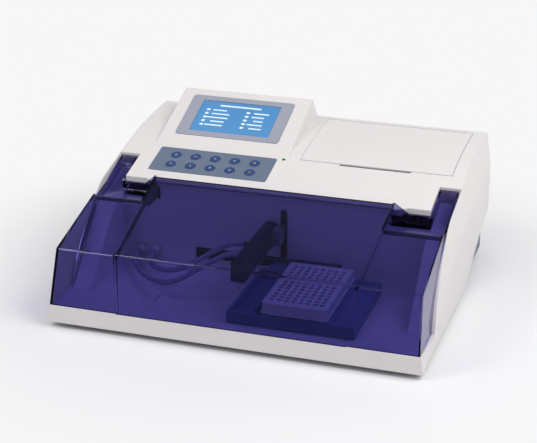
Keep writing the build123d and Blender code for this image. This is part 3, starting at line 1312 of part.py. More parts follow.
def switch_frame():
    """The frame of the mains switch, open to the front where the rocker sits."""
    clear = KEY_CLEARANCE
    body = framed(SWITCH_PLACE, SWITCH_SIZE, (PAN_REAR - 16.0, PAN_REAR), -clear)
    body += framed(SWITCH_PLACE, SWITCH_SIZE, (PAN_REAR, PAN_REAR + 1.6), 1.5)
    body -= framed(SWITCH_PLACE, SWITCH_SIZE, (PAN_REAR - 10.0, PAN_REAR + 3.0), -1.8)
    return body - rod_x((SWITCH_PLACE[0] - 9, SWITCH_PLACE[0] + 9), PAN_REAR - 2.0, SWITCH_PLACE[1], 1.0 + HINGE_CLEARANCE)


def switch_rocker():
    """The rocker, with its shallow V face and its two pivot stubs."""
    half_x = SWITCH_SIZE[0] / 2 - 1.8 - 2 * KEY_CLEARANCE
    half_z = SWITCH_SIZE[1] / 2 - 1.8 - 2 * KEY_CLEARANCE
    axis_y, z = PAN_REAR - 2.0, SWITCH_PLACE[1]
    ring = [(axis_y - 3, z - half_z + 2), (axis_y + 3.0, z - half_z + 0.5), (axis_y + 3.4, z),
            (axis_y + 5.6, z + half_z - 0.8), (axis_y - 3, z + half_z - 1.6)]
    body = side_plate((SWITCH_PLACE[0] - half_x, SWITCH_PLACE[0] + half_x), ring)
    stub = SWITCH_SIZE[0] / 2 - KEY_CLEARANCE - 0.1
    return body + rod_x((SWITCH_PLACE[0] - stub, SWITCH_PLACE[0] + stub), axis_y, z, 1.0)


def serial_socket():
    """The nine-way serial socket with its two jack posts."""
    clear = KEY_CLEARANCE
    body = framed(SERIAL_PLACE, SERIAL_SIZE, (PAN_REAR - 9.0, PAN_REAR), -clear)
    body += framed(SERIAL_PLACE, SERIAL_SIZE, (PAN_REAR, PAN_REAR + 1.0), 1.5)
    width, height = 17.0, 8.4
    x, z = SERIAL_PLACE
    shell = [(x - width / 2 + 1.2, z - height / 2), (x + width / 2 - 1.2, z - height / 2),
             (x + width / 2, z + height / 2), (x - width / 2, z + height / 2)]
    body += front_plate((PAN_REAR, PAN_REAR + 6.0), shell)
    body -= framed((x, z), (width - 4.0, height - 2.4), (PAN_REAR + 1.5, PAN_REAR + 7.0))
    for side in (-1, 1):
        body += rod_y(x + side * 12.5, (PAN_REAR, PAN_REAR + 5.0), z, 2.4)
    return body


def hose_barb(x):
    """A ribbed hose connector through the rear wall."""
    tip = BODY_DEPTH + HOSE_REACH
    body = rod_y(x, (PAN_REAR - 12.0, tip - 1.0), HOSE_Z, HOSE_RADIUS - 0.8)
    body += rod_y(x, (PAN_REAR - PAN_SHEET - 1.0, PAN_REAR), HOSE_Z, HOSE_RADIUS)
    body += rod_y(x, (PAN_REAR, PAN_REAR + 4.0), HOSE_Z, HOSE_RADIUS + 3.0)
    pitch = (tip - PAN_REAR - 6.0) / HOSE_RIBS
    for i in range(HOSE_RIBS):
        start = PAN_REAR + 6.0 + i * pitch
        cone = Cone(HOSE_RADIUS + 0.3, HOSE_RADIUS - 0.8, pitch)
        body += Pos(x, start + pitch / 2, HOSE_Z) * Rot(-90, 0, 0) * cone
    return body - rod_y(x, (PAN_REAR - 13.0, tip + 1.0), HOSE_Z, HOSE_BORE)


def hose_barbs():
    """The row of hose connectors for the bottles."""
    row = Part()
    for x in HOSE_PLACES:
        row += hose_barb(x)
    return row


# Electronics and fluid works

def on_posts(x, y, thickness, posts=STANDOFF):
    """A flat board standing on four posts on the pan."""
    z = pan_top() + posts
    board = block(x, y, (z, z + thickness))
    for px in (x[0] + 5, x[1] - 5):
        for py in (y[0] + 5, y[1] - 5):
            board += rod_z(px, py, (pan_top(), z), 2.5)
    return board


def power_supply():
    """The enclosed power supply, with vent slots along its top."""
    body = block(SUPPLY_X, SUPPLY_Y, (pan_top(), SUPPLY_TOP))
    for i in range(6):
        y = SUPPLY_Y[0] + 12 + i * 12
        body -= block((SUPPLY_X[0] + 12, SUPPLY_X[1] - 12), (y, y + 3), (SUPPLY_TOP - 2, SUPPLY_TOP + 1))
    return body


def main_board():
    """The control board with its chips, capacitors and connectors."""
    board = on_posts(MAIN_BOARD_X, MAIN_BOARD_Y, BOARD_THICKNESS)
    top = pan_top() + STANDOFF + BOARD_THICKNESS
    x, y = MAIN_BOARD_X[0], MAIN_BOARD_Y[0]
    for chip in ((20, 30, 24, 24, 2.5), (52, 30, 14, 20, 2.5), (20, 70, 30, 10, 3.0), (60, 72, 12, 22, 9.0)):
        board += block((x + chip[0], x + chip[0] + chip[2]), (y + chip[1], y + chip[1] + chip[3]), (top, top + chip[4]))
    for i in range(3):
        board += rod_z(x + 76, y + 14 + 14 * i, (top, top + 14), 5.0)
    return board


def vacuum_pump():
    """The diaphragm pump: a round motor under a square head with two nipples."""
    x, y = PUMP_PLACE
    top = pan_top() + PUMP_HEIGHT
    body = rod_z(x, y, (pan_top(), top - 18), PUMP_RADIUS)
    head = block((x - 21, x + 21), (y - 21, y + 21), (top - 18, top))
    head = fillet(head.edges().filter_by(Axis.Z), 5.0)
    for side in (-9, 9):
        head += rod_y(x + side, (y - 31, y - 21), top - 9, 3.0)
    return body + head


def valve_block():
    """Three solenoid valves on one manifold bar."""
    width, depth, height = VALVE_SIZE
    base = block((VALVE_X[0] - 16, VALVE_X[-1] + 16), (VALVE_Y - 14, VALVE_Y + 14), (pan_top(), pan_top() + 14))
    for x in VALVE_X:
        low = pan_top() + 14
        base += block((x - width / 2, x + width / 2), (VALVE_Y - depth / 2, VALVE_Y + depth / 2), (low, low + height - 8))
        base += rod_z(x, VALVE_Y, (low, low + height), 6.0)
        base += rod_y(x, (VALVE_Y - 24, VALVE_Y - 14), pan_top() + 7, 3.0)
    return base


# Writing the parts

def save(name, solid):
    """Writes one piece, moved so that the origin is the middle of the footprint on the ground."""
    placed = Pos(0, -(BODY_DEPTH + HOSE_REACH) / 2, FOOT_HEIGHT) * solid
    solids = placed.solids()
    export_step(Compound(children=solids) if len(solids) > 1 else solids[0], "parts/" + name + ".step")


def main():
    """Builds every piece and writes it to the parts folder."""
    os.makedirs("parts", exist_ok=True)
    save("main_housing", main_housing())
    save("chassis_pan", chassis_pan())
    save("rubber_feet", rubber_feet())
    save("chassis_screws", chassis_screws())
    save("chamber_liner", chamber_liner())
    save("wash_deck", wash_deck())
    save("cover", cover())
    save("hinge_pins", hinge_pins())
    save("display_bezel", display_bezel())
    save("screen", screen())
    save("keypad_plate", keypad_plate())
    save("key_board", key_board())
    for number, place in enumerate(key_places(), start=1):
        save("key_" + str(number), key(place))
    save("status_lamp", status_lamp())
    save("paper_lid", paper_lid())
    save("paper_pins", paper_pins())
    save("printer_frame", printer_frame())
    save("platen_roller", platen_roller())
    save("paper_roll", paper_roll())
    save("plate_carrier", plate_carrier())
    save("microplate", microplate())
    save("carriage_bracket", carriage_bracket())
    save("guide_bars", guide_bars())
    save("bar_supports", bar_supports())
    save("drive_belt", drive_belt())
    save("drive_pulley", pulley(PULLEY_X[1], 15.0))
    save("idler_pulley", pulley(PULLEY_X[0], 10.0))
    save("idler_post", idler_post())
    save("traverse_motor", traverse_motor())
    save("motor_stand", motor_stand())
    save("lift_frame", lift_frame())
    save("lift_rods", lift_rods())
    save("lift_screw", lift_screw())
    save("lift_motor", lift_motor())
    save("lift_arm", lift_arm())
    save("wash_head", wash_head())
    save("aspirate_needles", needles(NEEDLE_X[0], NEEDLE_TIP))
    save("dispense_needles", needles(NEEDLE_X[1], NEEDLE_TIP + NEEDLE_STEP))
    save("port_plate", port_plate())
    save("tube_ports", port(PORT_X[0]) + port(PORT_X[1]))
    save("waste_tube", tube(WASTE_ROUTE))
    save("wash_tube", tube(WASH_ROUTE))
    save("power_inlet", power_inlet())
    save("switch_frame", switch_frame())
    save("switch_rocker", switch_rocker())
    save("serial_socket", serial_socket())
    save("hose_barbs", hose_barbs())
    save("power_supply", power_supply())
    save("main_board", main_board())
    save("vacuum_pump", vacuum_pump())
    save("valve_block", valve_block())


main()
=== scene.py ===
# %% [markdown]
# # A bench microplate washer
# The object is a wedge-shaped white instrument with a tinted lift-up cover. Its solids come ready made
# and placed, so this lesson is about looks: one camera, soft light, a finish for every piece, and the
# few pieces that only the eye needs, such as the soft tubes and what the screen shows.

# %% Loading the frame
import math

import bpy
from mathutils import Matrix, Vector


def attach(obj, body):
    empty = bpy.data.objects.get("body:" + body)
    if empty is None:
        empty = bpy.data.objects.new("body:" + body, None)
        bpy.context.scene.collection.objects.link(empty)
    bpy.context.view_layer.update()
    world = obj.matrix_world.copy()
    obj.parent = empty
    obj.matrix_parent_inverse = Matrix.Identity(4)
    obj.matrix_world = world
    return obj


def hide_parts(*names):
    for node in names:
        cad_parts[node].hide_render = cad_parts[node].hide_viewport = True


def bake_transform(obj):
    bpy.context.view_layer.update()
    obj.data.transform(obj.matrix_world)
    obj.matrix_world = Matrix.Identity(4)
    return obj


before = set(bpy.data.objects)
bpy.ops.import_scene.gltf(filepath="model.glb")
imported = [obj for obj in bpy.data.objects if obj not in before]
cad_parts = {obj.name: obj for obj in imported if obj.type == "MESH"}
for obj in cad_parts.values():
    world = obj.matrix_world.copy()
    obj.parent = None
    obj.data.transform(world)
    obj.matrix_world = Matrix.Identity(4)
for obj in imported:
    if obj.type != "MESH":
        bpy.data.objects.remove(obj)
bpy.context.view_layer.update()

MM = 0.001
BENCH = Vector((0.0, -210.5, 7.0))


# %% [markdown]
# The sizes below are the bench sizes in millimetres: X to the right, Y back from the front rim and Z up
# from the underside of the base. One helper turns such a point to the metres of the frame, whose origin
# lies on the ground in the middle of the footprint.

# %% From bench sizes to the frame
def place(x, y, z):
    """A bench point in millimetres as a point of the frame in metres."""
    return (Vector((x, y, z)) + BENCH) * MM


PANEL_TILT = math.radians(14.0)
PANEL_START = (176.2, 132.0)
POD_TILT = math.radians(20.0)
POD_START_Y = 262.0
PANEL_END_Y = 258.0
POD_END_Y = 381.0


def panel_height(y):
    """Height of the control panel's face at a distance y from the front."""
    return PANEL_START[1] + (y - PANEL_START[0]) * math.tan(PANEL_TILT)


def pod_height(y):
    """Height of the screen pod's face at a distance y from the front."""
    return panel_height(POD_START_Y) + (y - POD_START_Y) * math.tan(POD_TILT)


def slope(x, y, z, tilt):
    """A matrix whose X runs right, Y up the slope and Z out of a sloped face at that bench point."""
    turn = Matrix.Rotation(tilt, 4, "X")
    return Matrix.Translation(place(x, y, z)) @ turn @ Matrix.Scale(MM, 4)


print("panel rises to", round(panel_height(PANEL_END_Y), 1), "pod to", round(pod_height(POD_END_Y), 1))


# %% [markdown]
# The camera stands in front of the machine, to the right and above, and uses a long lens, as a product
# photographer would, so the sides stay nearly parallel. Its place and its three angles come from fitting
# the standard size of the microplate and the straight edges of the body to the picture.

# %% Camera
EYE = (565.22, -1587.71, 855.59)
YAW, PITCH, ROLL = (math.radians(a) for a in (17.923, 22.296, -0.093))
FOCAL_PIXELS = 1555.05
IMAGE_WIDTH = 537
SENSOR_WIDTH = 36.0


def aim():
    """The camera's right, up and backward directions as a rotation."""
    level = math.cos(PITCH)
    forward = Vector((-math.sin(YAW) * level, math.cos(YAW) * level, -math.sin(PITCH)))
    right = Vector((math.cos(YAW), math.sin(YAW), 0.0))
    up = right.cross(forward)
    turned_right = right * math.cos(ROLL) + up * math.sin(ROLL)
    turned_up = -right * math.sin(ROLL) + up * math.cos(ROLL)
    return Matrix((turned_right, turned_up, -forward)).transposed().to_4x4()


camera_data = bpy.data.cameras.new("photo_camera")
camera_data.sensor_width = SENSOR_WIDTH
camera_data.lens = FOCAL_PIXELS * camera_data.sensor_width / IMAGE_WIDTH
camera = bpy.data.objects.new("photo_camera", camera_data)
camera.matrix_world = Matrix.Translation(place(*EYE)) @ aim()
bpy.context.scene.collection.objects.link(camera)
bpy.context.scene.camera = camera
print("lens", round(camera_data.lens, 2), "mm")


# %% [markdown]
# A finish is a small graph of nodes. One helper adds a node with its settings and its links, another
# turns a colour as a painter would write it, in sRGB hex, to the linear numbers that the renderer uses.

# %% Helpers for finishes
def linear(code):
    """An sRGB hex colour as linear red, green, blue and alpha."""
    parts = [int(code[i:i + 2], 16) / 255 for i in (1, 3, 5)]
    return [c / 12.92 if c <= 0.04045 else ((c + 0.055) / 1.055) ** 2.4 for c in parts] + [1.0]


def add(tree, kind, inputs=None, **settings):
    """Adds one node with its settings, fills or links its inputs, and gives the node back."""
    new = tree.nodes.new("ShaderNode" + kind)
    for name, value in settings.items():
        setattr(new, name, value)
    for socket, value in (inputs or {}).items():
        if isinstance(value, bpy.types.NodeSocket):
            tree.links.new(value, new.inputs[socket])
        else:
            new.inputs[socket].default_value = value
    return new


def blank(name):
    """An empty material with its tree and its output."""
    material = bpy.data.materials.new(name)
    material.use_nodes = True
    tree = material.node_tree
    tree.nodes.clear()
    return material, tree, tree.nodes.new("ShaderNodeOutputMaterial")


# %% [markdown]
# Most pieces here are moulded plastic, painted sheet or turned metal. They share one recipe: a colour
# that drifts a little over the surface, and a fine grain that varies the roughness and bends the light.
# Each finish gives the recipe its own grain size and depth in millimetres. The bevel node softens the
# shading at sharp corners, as every moulded or bent edge is a little round.

# %% The recipe for a grained surface
DRIFT_SCALE = 12.0
GLOSS_SPREAD = 0.05
GRAIN_STRENGTH = 0.4
BEVEL_SAMPLES = 6


def grained(name, colour, tone, roughness, grain_mm, depth_mm, metallic=0.0, ior=1.5, round_mm=0.5,
            stretch=(1.0, 1.0, 1.0)):
    """A surface whose colour drifts between two tones, with a fine grain of a given size."""
    material, tree, out = blank(name)
    where = add(tree, "TexCoord").outputs["Object"]
    along = add(tree, "Mapping", {"Vector": where, "Scale": stretch}).outputs["Vector"]
    drift = add(tree, "TexNoise", {"Vector": where, "Scale": DRIFT_SCALE, "Detail": 3.0}).outputs["Fac"]
    per_metre = 1.0 / (grain_mm * MM)
    grain = add(tree, "TexNoise", {"Vector": along, "Scale": per_metre, "Detail": 2.0}).outputs["Fac"]
    mixed = add(tree, "MixRGB", {"Fac": drift, "Color1": linear(colour), "Color2": linear(tone)})
    gloss = add(tree, "MapRange", {
        "Value": grain, "To Min": roughness - GLOSS_SPREAD, "To Max": roughness + GLOSS_SPREAD})
    corner = add(tree, "Bevel", {"Radius": round_mm * MM}, samples=BEVEL_SAMPLES).outputs["Normal"]
    bump = add(tree, "Bump", {
        "Strength": GRAIN_STRENGTH, "Distance": depth_mm * MM, "Height": grain, "Normal": corner})
    surface = add(tree, "BsdfPrincipled", {
        "Base Color": mixed.outputs["Color"], "Roughness": gloss.outputs["Result"],
        "Metallic": metallic, "IOR": ior, "Normal": bump.outputs["Normal"]})
    tree.links.new(surface.outputs["BSDF"], out.inputs["Surface"])
    return material


def dress(material, *nodes):
    """Gives CAD nodes a finish."""
    for name in nodes:
        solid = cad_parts[name]
        solid.data.materials.clear()
        solid.data.materials.append(material)


# %% [markdown]
# The shell is ABS, moulded in a warm off-white with a fine spark-eroded texture. That gives a soft sheen
# with no sharp reflections. ABS has an index of refraction near 1.54. The real texture is about 0.3 mm,
# too fine for this picture, so it is drawn at 1.2 mm.

# %% Moulded shell
ABS_INDEX = 1.54
shell_abs = grained("moulded_abs_shell", "#E6E2DF", "#E2DEDC", 0.42, 1.2, 0.03, ior=ABS_INDEX, round_mm=1.6)
liner_abs = grained("moulded_abs_liner", "#E4E3E6", "#DEDDE2", 0.36, 1.6, 0.02, ior=ABS_INDEX, round_mm=1.0)
dress(shell_abs, "main_housing", "paper_lid")
dress(liner_abs, "chamber_liner", "wash_deck")

# %% [markdown]
# The pan under the shell is bent steel with a blue-grey powder coat, a paint that melts into a faint
# orange peel about a millimetre across. Its index is near 1.5, which is what the recipe takes when none is
# given. The motors and the pump are painted, and the feet, the platen and the belt are black rubber.

# %% Powder coat, paint and rubber
RUBBER_INDEX = 1.52
powder_coat = grained("powder_coat_blue_grey", "#6E7488", "#656B80", 0.5, 1.4, 0.05)
motor_paint = grained("motor_black_paint", "#26272B", "#1F2024", 0.45, 1.0, 0.02)
pump_paint = grained("pump_blue_paint", "#3C4A66", "#34415C", 0.4, 1.0, 0.02)
foot_rubber = grained("moulded_rubber", "#1E1E20", "#19191B", 0.75, 0.9, 0.05, ior=RUBBER_INDEX)
belt_rubber = grained("toothed_belt_rubber", "#1A1A1C", "#141416", 0.8, 1.5, 0.15, ior=RUBBER_INDEX)
dress(powder_coat, "chassis_pan")
dress(motor_paint, "traverse_motor", "lift_motor")
dress(pump_paint, "vacuum_pump")
dress(foot_rubber, "rubber_feet", "platen_roller")
dress(belt_rubber, "drive_belt")

# %% [markdown]
# Ground steel, machined aluminium and zinc plate are bare metals, so metallic is 1 and the colour is that
# of the reflection. The dye in anodised aluminium covers part of the metal. Turning and grinding leave fine
# lines, drawn by stretching the grain along one axis.

# %% Metals
ground_steel = grained("ground_steel", "#B9BBBF", "#AEB0B5", 0.25, 0.8, 0.01, metallic=1.0,
                       stretch=(0.05, 1, 1))
machined_aluminium = grained("machined_aluminium", "#BFC1C5", "#B3B5BA", 0.38, 0.9, 0.01, metallic=1.0,
                             stretch=(0.1, 1, 1))
zinc_plate = grained("zinc_plated_steel", "#A9ABAE", "#9B9DA1", 0.4, 2.5, 0.02, metallic=1.0)
dark_anodised = grained("dark_anodised_aluminium", "#4A4E60", "#3F4354", 0.36, 0.9, 0.01, metallic=0.6)
needle_steel = grained("drawn_needle_steel", "#D4D6DA", "#C8CACF", 0.2, 0.5, 0.005, metallic=1.0)
dress(ground_steel, "guide_bars", "lift_rods", "lift_screw", "hinge_pins", "paper_pins")
dress(machined_aluminium, "carriage_bracket", "bar_supports", "drive_pulley", "idler_pulley", "idler_post",
      "lift_frame", "lift_arm")
dress(zinc_plate, "chassis_screws", "motor_stand", "power_supply", "serial_socket")
dress(dark_anodised, "wash_head")
dress(needle_steel, "aspirate_needles", "dispense_needles")

# %% [markdown]
# The carrier is moulded in a mid blue-grey, the ports in natural nylon, and the sockets at the back in
# shiny black. The paper roll is thermal paper wound so tightly that only its rings show.

# %% Other moulded pieces
NYLON_INDEX = 1.53
carrier_plastic = grained("moulded_carrier_plastic", "#6C7BA6", "#65749E", 0.4, 1.2, 0.02, round_mm=0.8)
port_nylon = grained("natural_nylon", "#D9D9D6", "#CFCFCD", 0.4, 1.1, 0.02, ior=NYLON_INDEX)
socket_plastic = grained("black_socket_plastic", "#18181A", "#131315", 0.3, 1.0, 0.01)
printer_plastic = grained("printer_black_plastic", "#2A2B2E", "#232427", 0.5, 1.2, 0.03)
valve_plastic = grained("valve_grey_plastic", "#6A6C72", "#5F6167", 0.45, 1.2, 0.02)
board_laminate = grained("board_green_laminate", "#1F6A3A", "#1A5C32", 0.35, 0.8, 0.02)
thermal_paper = grained("thermal_paper", "#EDECE6", "#E4E3DD", 0.7, 0.6, 0.03, stretch=(30.0, 1, 1))
dress(carrier_plastic, "plate_carrier")
dress(port_nylon, "port_plate", "tube_ports", "hose_barbs")
dress(socket_plastic, "power_inlet", "switch_frame", "switch_rocker")
dress(printer_plastic, "printer_frame")
dress(valve_plastic, "valve_block")
dress(board_laminate, "main_board", "key_board")
dress(thermal_paper, "paper_roll")

# %% [markdown]
# The keypad is a printed slate film over the panel, the keys are glossy dark blue domes and the bezel is a
# finely textured grey frame.

# %% Panel pieces
slate_film = grained("printed_slate_film", "#6F7C90", "#69768A", 0.38, 0.9, 0.01, round_mm=0.4)
key_gloss = grained("moulded_key_blue", "#3A5080", "#344A78", 0.28, 0.8, 0.01, round_mm=0.5)
bezel_plastic = grained("moulded_bezel_grey", "#A5A8B5", "#9DA0AE", 0.42, 1.0, 0.02, round_mm=0.8)
dress(slate_film, "keypad_plate")
dress(key_gloss, *["key_" + str(i) for i in range(1, 11)])
dress(bezel_plastic, "display_bezel")

# %% [markdown]
# The cover is acrylic, dyed a deep blue-violet all through and polished. Acrylic has an index of 1.49, so
# it mirrors the lamps softly and bends what lies behind it only a little. A clear dyed solid would keep
# the lamps' light out of the chamber, because the renderer can't aim light through a bent path, so for
# the rays that carry shadow the cover is a plain coloured filter.

# %% Tinted acrylic
ACRYLIC_INDEX = 1.49
RIPPLE_DEPTH_MM = 0.4


def tinted_acrylic(name, seen, filtered, roughness):
    """A dyed clear solid that lets the lamps' light through as a plain filter."""
    material, tree, out = blank(name)
    where = add(tree, "TexCoord").outputs["Object"]
    ripple = add(tree, "TexNoise", {"Vector": where, "Scale": 9.0, "Detail": 1.0}).outputs["Fac"]
    wave = add(tree, "Bump", {"Strength": 0.05, "Distance": RIPPLE_DEPTH_MM * MM, "Height": ripple})
    solid = add(tree, "BsdfPrincipled", {
        "Base Color": linear(seen), "Roughness": roughness, "IOR": ACRYLIC_INDEX,
        "Transmission Weight": 1.0, "Normal": wave.outputs["Normal"]})
    sieve = add(tree, "BsdfTransparent", {"Color": linear(filtered)})
    lit = add(tree, "LightPath").outputs["Is Shadow Ray"]
    both = add(tree, "MixShader", {"Fac": lit, 1: solid.outputs["BSDF"], 2: sieve.outputs["BSDF"]})
    tree.links.new(both.outputs["Shader"], out.inputs["Surface"])
    return material


cover_acrylic = tinted_acrylic("tinted_acrylic", "#918CBB", "#A8A4D6", 0.03)
dress(cover_acrylic, "cover")

# %% [markdown]
# The plate is clear polystyrene, index 1.59. Ninety-six well walls scatter so much light that it looks
# milky, so it is partly see-through and partly white.

# %% Clear polystyrene
POLYSTYRENE_INDEX = 1.59


def milky_polystyrene(name):
    """Moulded polystyrene: part clear, part milky."""
    material, tree, out = blank(name)
    where = add(tree, "TexCoord").outputs["Object"]
    flow = add(tree, "TexNoise", {"Vector": where, "Scale": 60.0, "Detail": 2.0}).outputs["Fac"]
    tone = add(tree, "MixRGB", {"Fac": flow, "Color1": linear("#F2F3FA"), "Color2": linear("#E6E8F2")})
    surface = add(tree, "BsdfPrincipled", {
        "Base Color": tone.outputs["Color"], "Roughness": 0.18, "IOR": POLYSTYRENE_INDEX,
        "Transmission Weight": 0.25})
    tree.links.new(surface.outputs["BSDF"], out.inputs["Surface"])
    return material


plate_polystyrene = milky_polystyrene("clear_polystyrene")
dress(plate_polystyrene, "microplate")

# %% [markdown]
# The lamp is a small green dome, and the screen a backlit blue liquid crystal panel with pale marks. The
# colour of each drifts softly between two tones, and each gives a little light of its own.

# %% Lamp and screen
def lit_plastic(name, dark, bright, strength, spread_mm):
    """Shiny plastic in two soft tones that glows with a given strength, or not at all at zero."""
    material, tree, out = blank(name)
    where = add(tree, "TexCoord").outputs["Object"]
    per_metre = 1.0 / (spread_mm * MM)
    cloud = add(tree, "TexNoise", {"Vector": where, "Scale": per_metre, "Detail": 0.0}).outputs["Fac"]
    mixed = add(tree, "MixRGB", {"Fac": cloud, "Color1": linear(dark), "Color2": linear(bright)})
    tone = mixed.outputs["Color"]
    surface = add(tree, "BsdfPrincipled", {
        "Base Color": tone, "Roughness": 0.16, "IOR": 1.5, "Emission Color": tone,
        "Emission Strength": strength})
    tree.links.new(surface.outputs["BSDF"], out.inputs["Surface"])
    return material


lamp_dome = lit_plastic("green_lamp_dome", "#14603A", "#2A7A4E", 0.05, 6.0)
crystal_panel = lit_plastic("blue_crystal_panel", "#4F8CC2", "#5D99CD", 0.05, 60.0)
crystal_light = lit_plastic("bright_crystal_mark", "#CFE6F8", "#E2F1FC", 0.15, 30.0)
dress(lamp_dome, "status_lamp")
dress(crystal_panel, "screen")


# %% [markdown]
# Flat marks, such as the rows on the screen, are thin plates. Each is drawn in the plane of the face it
# lies on, as a list of corners in millimetres, and given a thickness of a few hundredths of a millimetre.

# %% Thin marks on a sloped face
CORNER_STEPS = 4


def flat_marks(name, outlines, matrix, material, body, thickness=0.06):
    """One mesh of thin plates from closed outlines in a face's own plane."""
    corners, faces = [], []
    for outline in outlines:
        first = len(corners)
        count = len(outline)
        corners += [(x, y, 0.0) for x, y in outline] + [(x, y, thickness) for x, y in outline]
        faces.append(tuple(first + count + i for i in range(count)))
        faces.append(tuple(first + i for i in reversed(range(count))))
        faces += [(first + i, first + (i + 1) % count, first + count + (i + 1) % count, first + count + i)
                  for i in range(count)]
    mesh = bpy.data.meshes.new(name)
    mesh.from_pydata(corners, [], faces)
    mesh.transform(matrix)
    mesh.materials.append(material)
    marks = bpy.data.objects.new(name, mesh)
    bpy.context.scene.collection.objects.link(marks)
    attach(marks, body)
    return marks


def bar(x, y, width, height, radius=0.0):
    """A rectangle centred on x and y, with round corners if a radius is given."""
    if not radius:
        half_w, half_h = width / 2, height / 2
        return [(x - half_w, y - half_h), (x + half_w, y - half_h),
                (x + half_w, y + half_h), (x - half_w, y + half_h)]
    outline = []
    for quarter, (sx, sy) in enumerate(((1, 1), (-1, 1), (-1, -1), (1, -1))):
        for step in range(CORNER_STEPS + 1):
            angle = math.radians(90 * (quarter + step / CORNER_STEPS))
            outline.append((x + sx * (width / 2 - radius) + radius * math.cos(angle),
                            y + sy * (height / 2 - radius) + radius * math.sin(angle)))
    return outline


# %% [markdown]
# The screen shows a plain menu: a band across the top and rows of short bars where a real one would have
# its words. No letters are drawn.

# %% What the screen shows
SCREEN_CENTRE = (-101.5, 327.0)
SCREEN_SINK = 0.5
MARK_GAP = 0.02
MENU_ROWS = 5
ROW_TOP, ROW_PITCH = 15.0, 8.2
TICK = (5, 4, 0.8)
LINE_HEIGHT, LINE_ROUND = 2.6, 1.0
pod_face = slope(SCREEN_CENTRE[0], SCREEN_CENTRE[1], pod_height(SCREEN_CENTRE[1]), POD_TILT)
screen_face = pod_face @ Matrix.Translation((0, 0, MARK_GAP - SCREEN_SINK))
menu = [bar(0, 25.5, 60, 3.2, 1.2)]
for row in range(MENU_ROWS):
    y = ROW_TOP - row * ROW_PITCH
    left_x, left_width = -27 + row % 2 * 3, 20 + 6 * (row % 3)
    right_x, right_width = 33 - row % 2 * 3, 22 - 4 * (row % 3)
    menu += [bar(-44, y, *TICK), bar(left_x, y, left_width, LINE_HEIGHT, LINE_ROUND)]
    menu += [bar(14, y, *TICK), bar(right_x, y, right_width, LINE_HEIGHT, LINE_ROUND)]
screen_rows = flat_marks("screen_rows", menu, screen_face, crystal_light, "housing")
print("screen marks", len(menu))

# %% [markdown]
# Each key carries a small printed sign, orange in the last column and a greyish white in the others. Plain
# arrows, bars, a dot and a square are enough to show that the keys differ.

# %% Signs on the keys
KEY_PITCH = (27.6, 22.0)
KEYPAD_CENTRE = (-100.2, 229.3)
KEY_COLUMNS = 5
KEY_RISE = 1.2
SIGN_THICKNESS = 0.04
ARROW_REACH = 2.2
sign_white = lit_plastic("printed_white", "#A4ACC0", "#B0B7C9", 0.0, 10.0)
sign_orange = lit_plastic("printed_orange", "#B98A62", "#C0936C", 0.0, 10.0)


def arrow(angle):
    """A small triangle that points along an angle in degrees."""
    turns = [math.radians(angle + turn) for turn in (0, 130, 230)]
    return [(ARROW_REACH * math.cos(turn), ARROW_REACH * math.sin(turn)) for turn in turns]


signs = [arrow(90), bar(0, 0, 4.4, 1.1), arrow(180), arrow(0), bar(0, 0, 3.2, 3.2, 0.5),
         arrow(270), bar(0, 0, 1.1, 4.4), bar(0, 0, 3.0, 3.0, 1.4), arrow(0), bar(0, 0, 3.6, 1.8, 0.8)]
for number, sign in enumerate(signs, start=1):
    row, column = divmod(number - 1, KEY_COLUMNS)
    x = KEYPAD_CENTRE[0] + (column - (KEY_COLUMNS - 1) / 2) * KEY_PITCH[0]
    y = KEYPAD_CENTRE[1] - (row - 0.5) * KEY_PITCH[1] * math.cos(PANEL_TILT)
    face = slope(x, y, panel_height(y), PANEL_TILT) @ Matrix.Translation((0, 0, KEY_RISE))
    ink = sign_orange if column == KEY_COLUMNS - 1 else sign_white
    mark = flat_marks("sign_" + str(number), [sign], face, ink, "key_" + str(number), SIGN_THICKNESS)
print("signs", len(signs))

# %% [markdown]
# The two tubes are clear silicone, 7 mm thick. Silicone's index is 1.41, and its skin is a little cloudy. A
# NURBS curve through the air bends as a soft tube does, with no kinks. The curve is turned to a mesh.

# %% Silicone tubes
SILICONE_INDEX = 1.41


def silicone(name):
    """Cloudy clear silicone."""
    material, tree, out = blank(name)
    where = add(tree, "TexCoord").outputs["Object"]
    haze = add(tree, "TexNoise", {"Vector": where, "Scale": 150.0, "Detail": 2.0}).outputs["Fac"]
    tone = add(tree, "MixRGB", {"Fac": haze, "Color1": linear("#C9CBDD"), "Color2": linear("#B9BCD2")})
    rough = add(tree, "MapRange", {"Value": haze, "To Min": 0.2, "To Max": 0.3})
    surface = add(tree, "BsdfPrincipled", {
        "Base Color": tone.outputs["Color"], "Roughness": rough.outputs["Result"], "IOR": SILICONE_INDEX,
        "Transmission Weight": 0.45})
    tree.links.new(surface.outputs["BSDF"], out.inputs["Surface"])
    return material


tube_silicone = silicone("cloudy_silicone")
TUBE_RADIUS = 3.5
PORT_FACE = 165.2
TUBE_END_X = -18.3
waste_route = [
    (-182.0, PORT_FACE, 35.0), (-182.0, 149.2, 35.0), (-167.5, 121.0, 32.7), (-136.3, 85.0, 36.2),
    (-103.0, 62.0, 43.3), (-81.4, 70.0, 52.3), (-65.3, 78.0, 63.2), (-52.6, 88.0, 67.8),
    (-34.3, 100.0, 77.5), (TUBE_END_X, 100.0, 77.5)]
wash_route = [
    (-162.0, PORT_FACE, 35.0), (-162.0, 149.2, 35.0), (-148.9, 132.0, 31.3), (-125.6, 116.0, 35.6),
    (-100.8, 104.0, 46.1), (-81.5, 106.0, 56.1), (-68.1, 112.0, 64.2), (-53.6, 117.0, 73.1),
    (-34.3, 118.0, 84.9), (TUBE_END_X, 118.0, 84.9)]


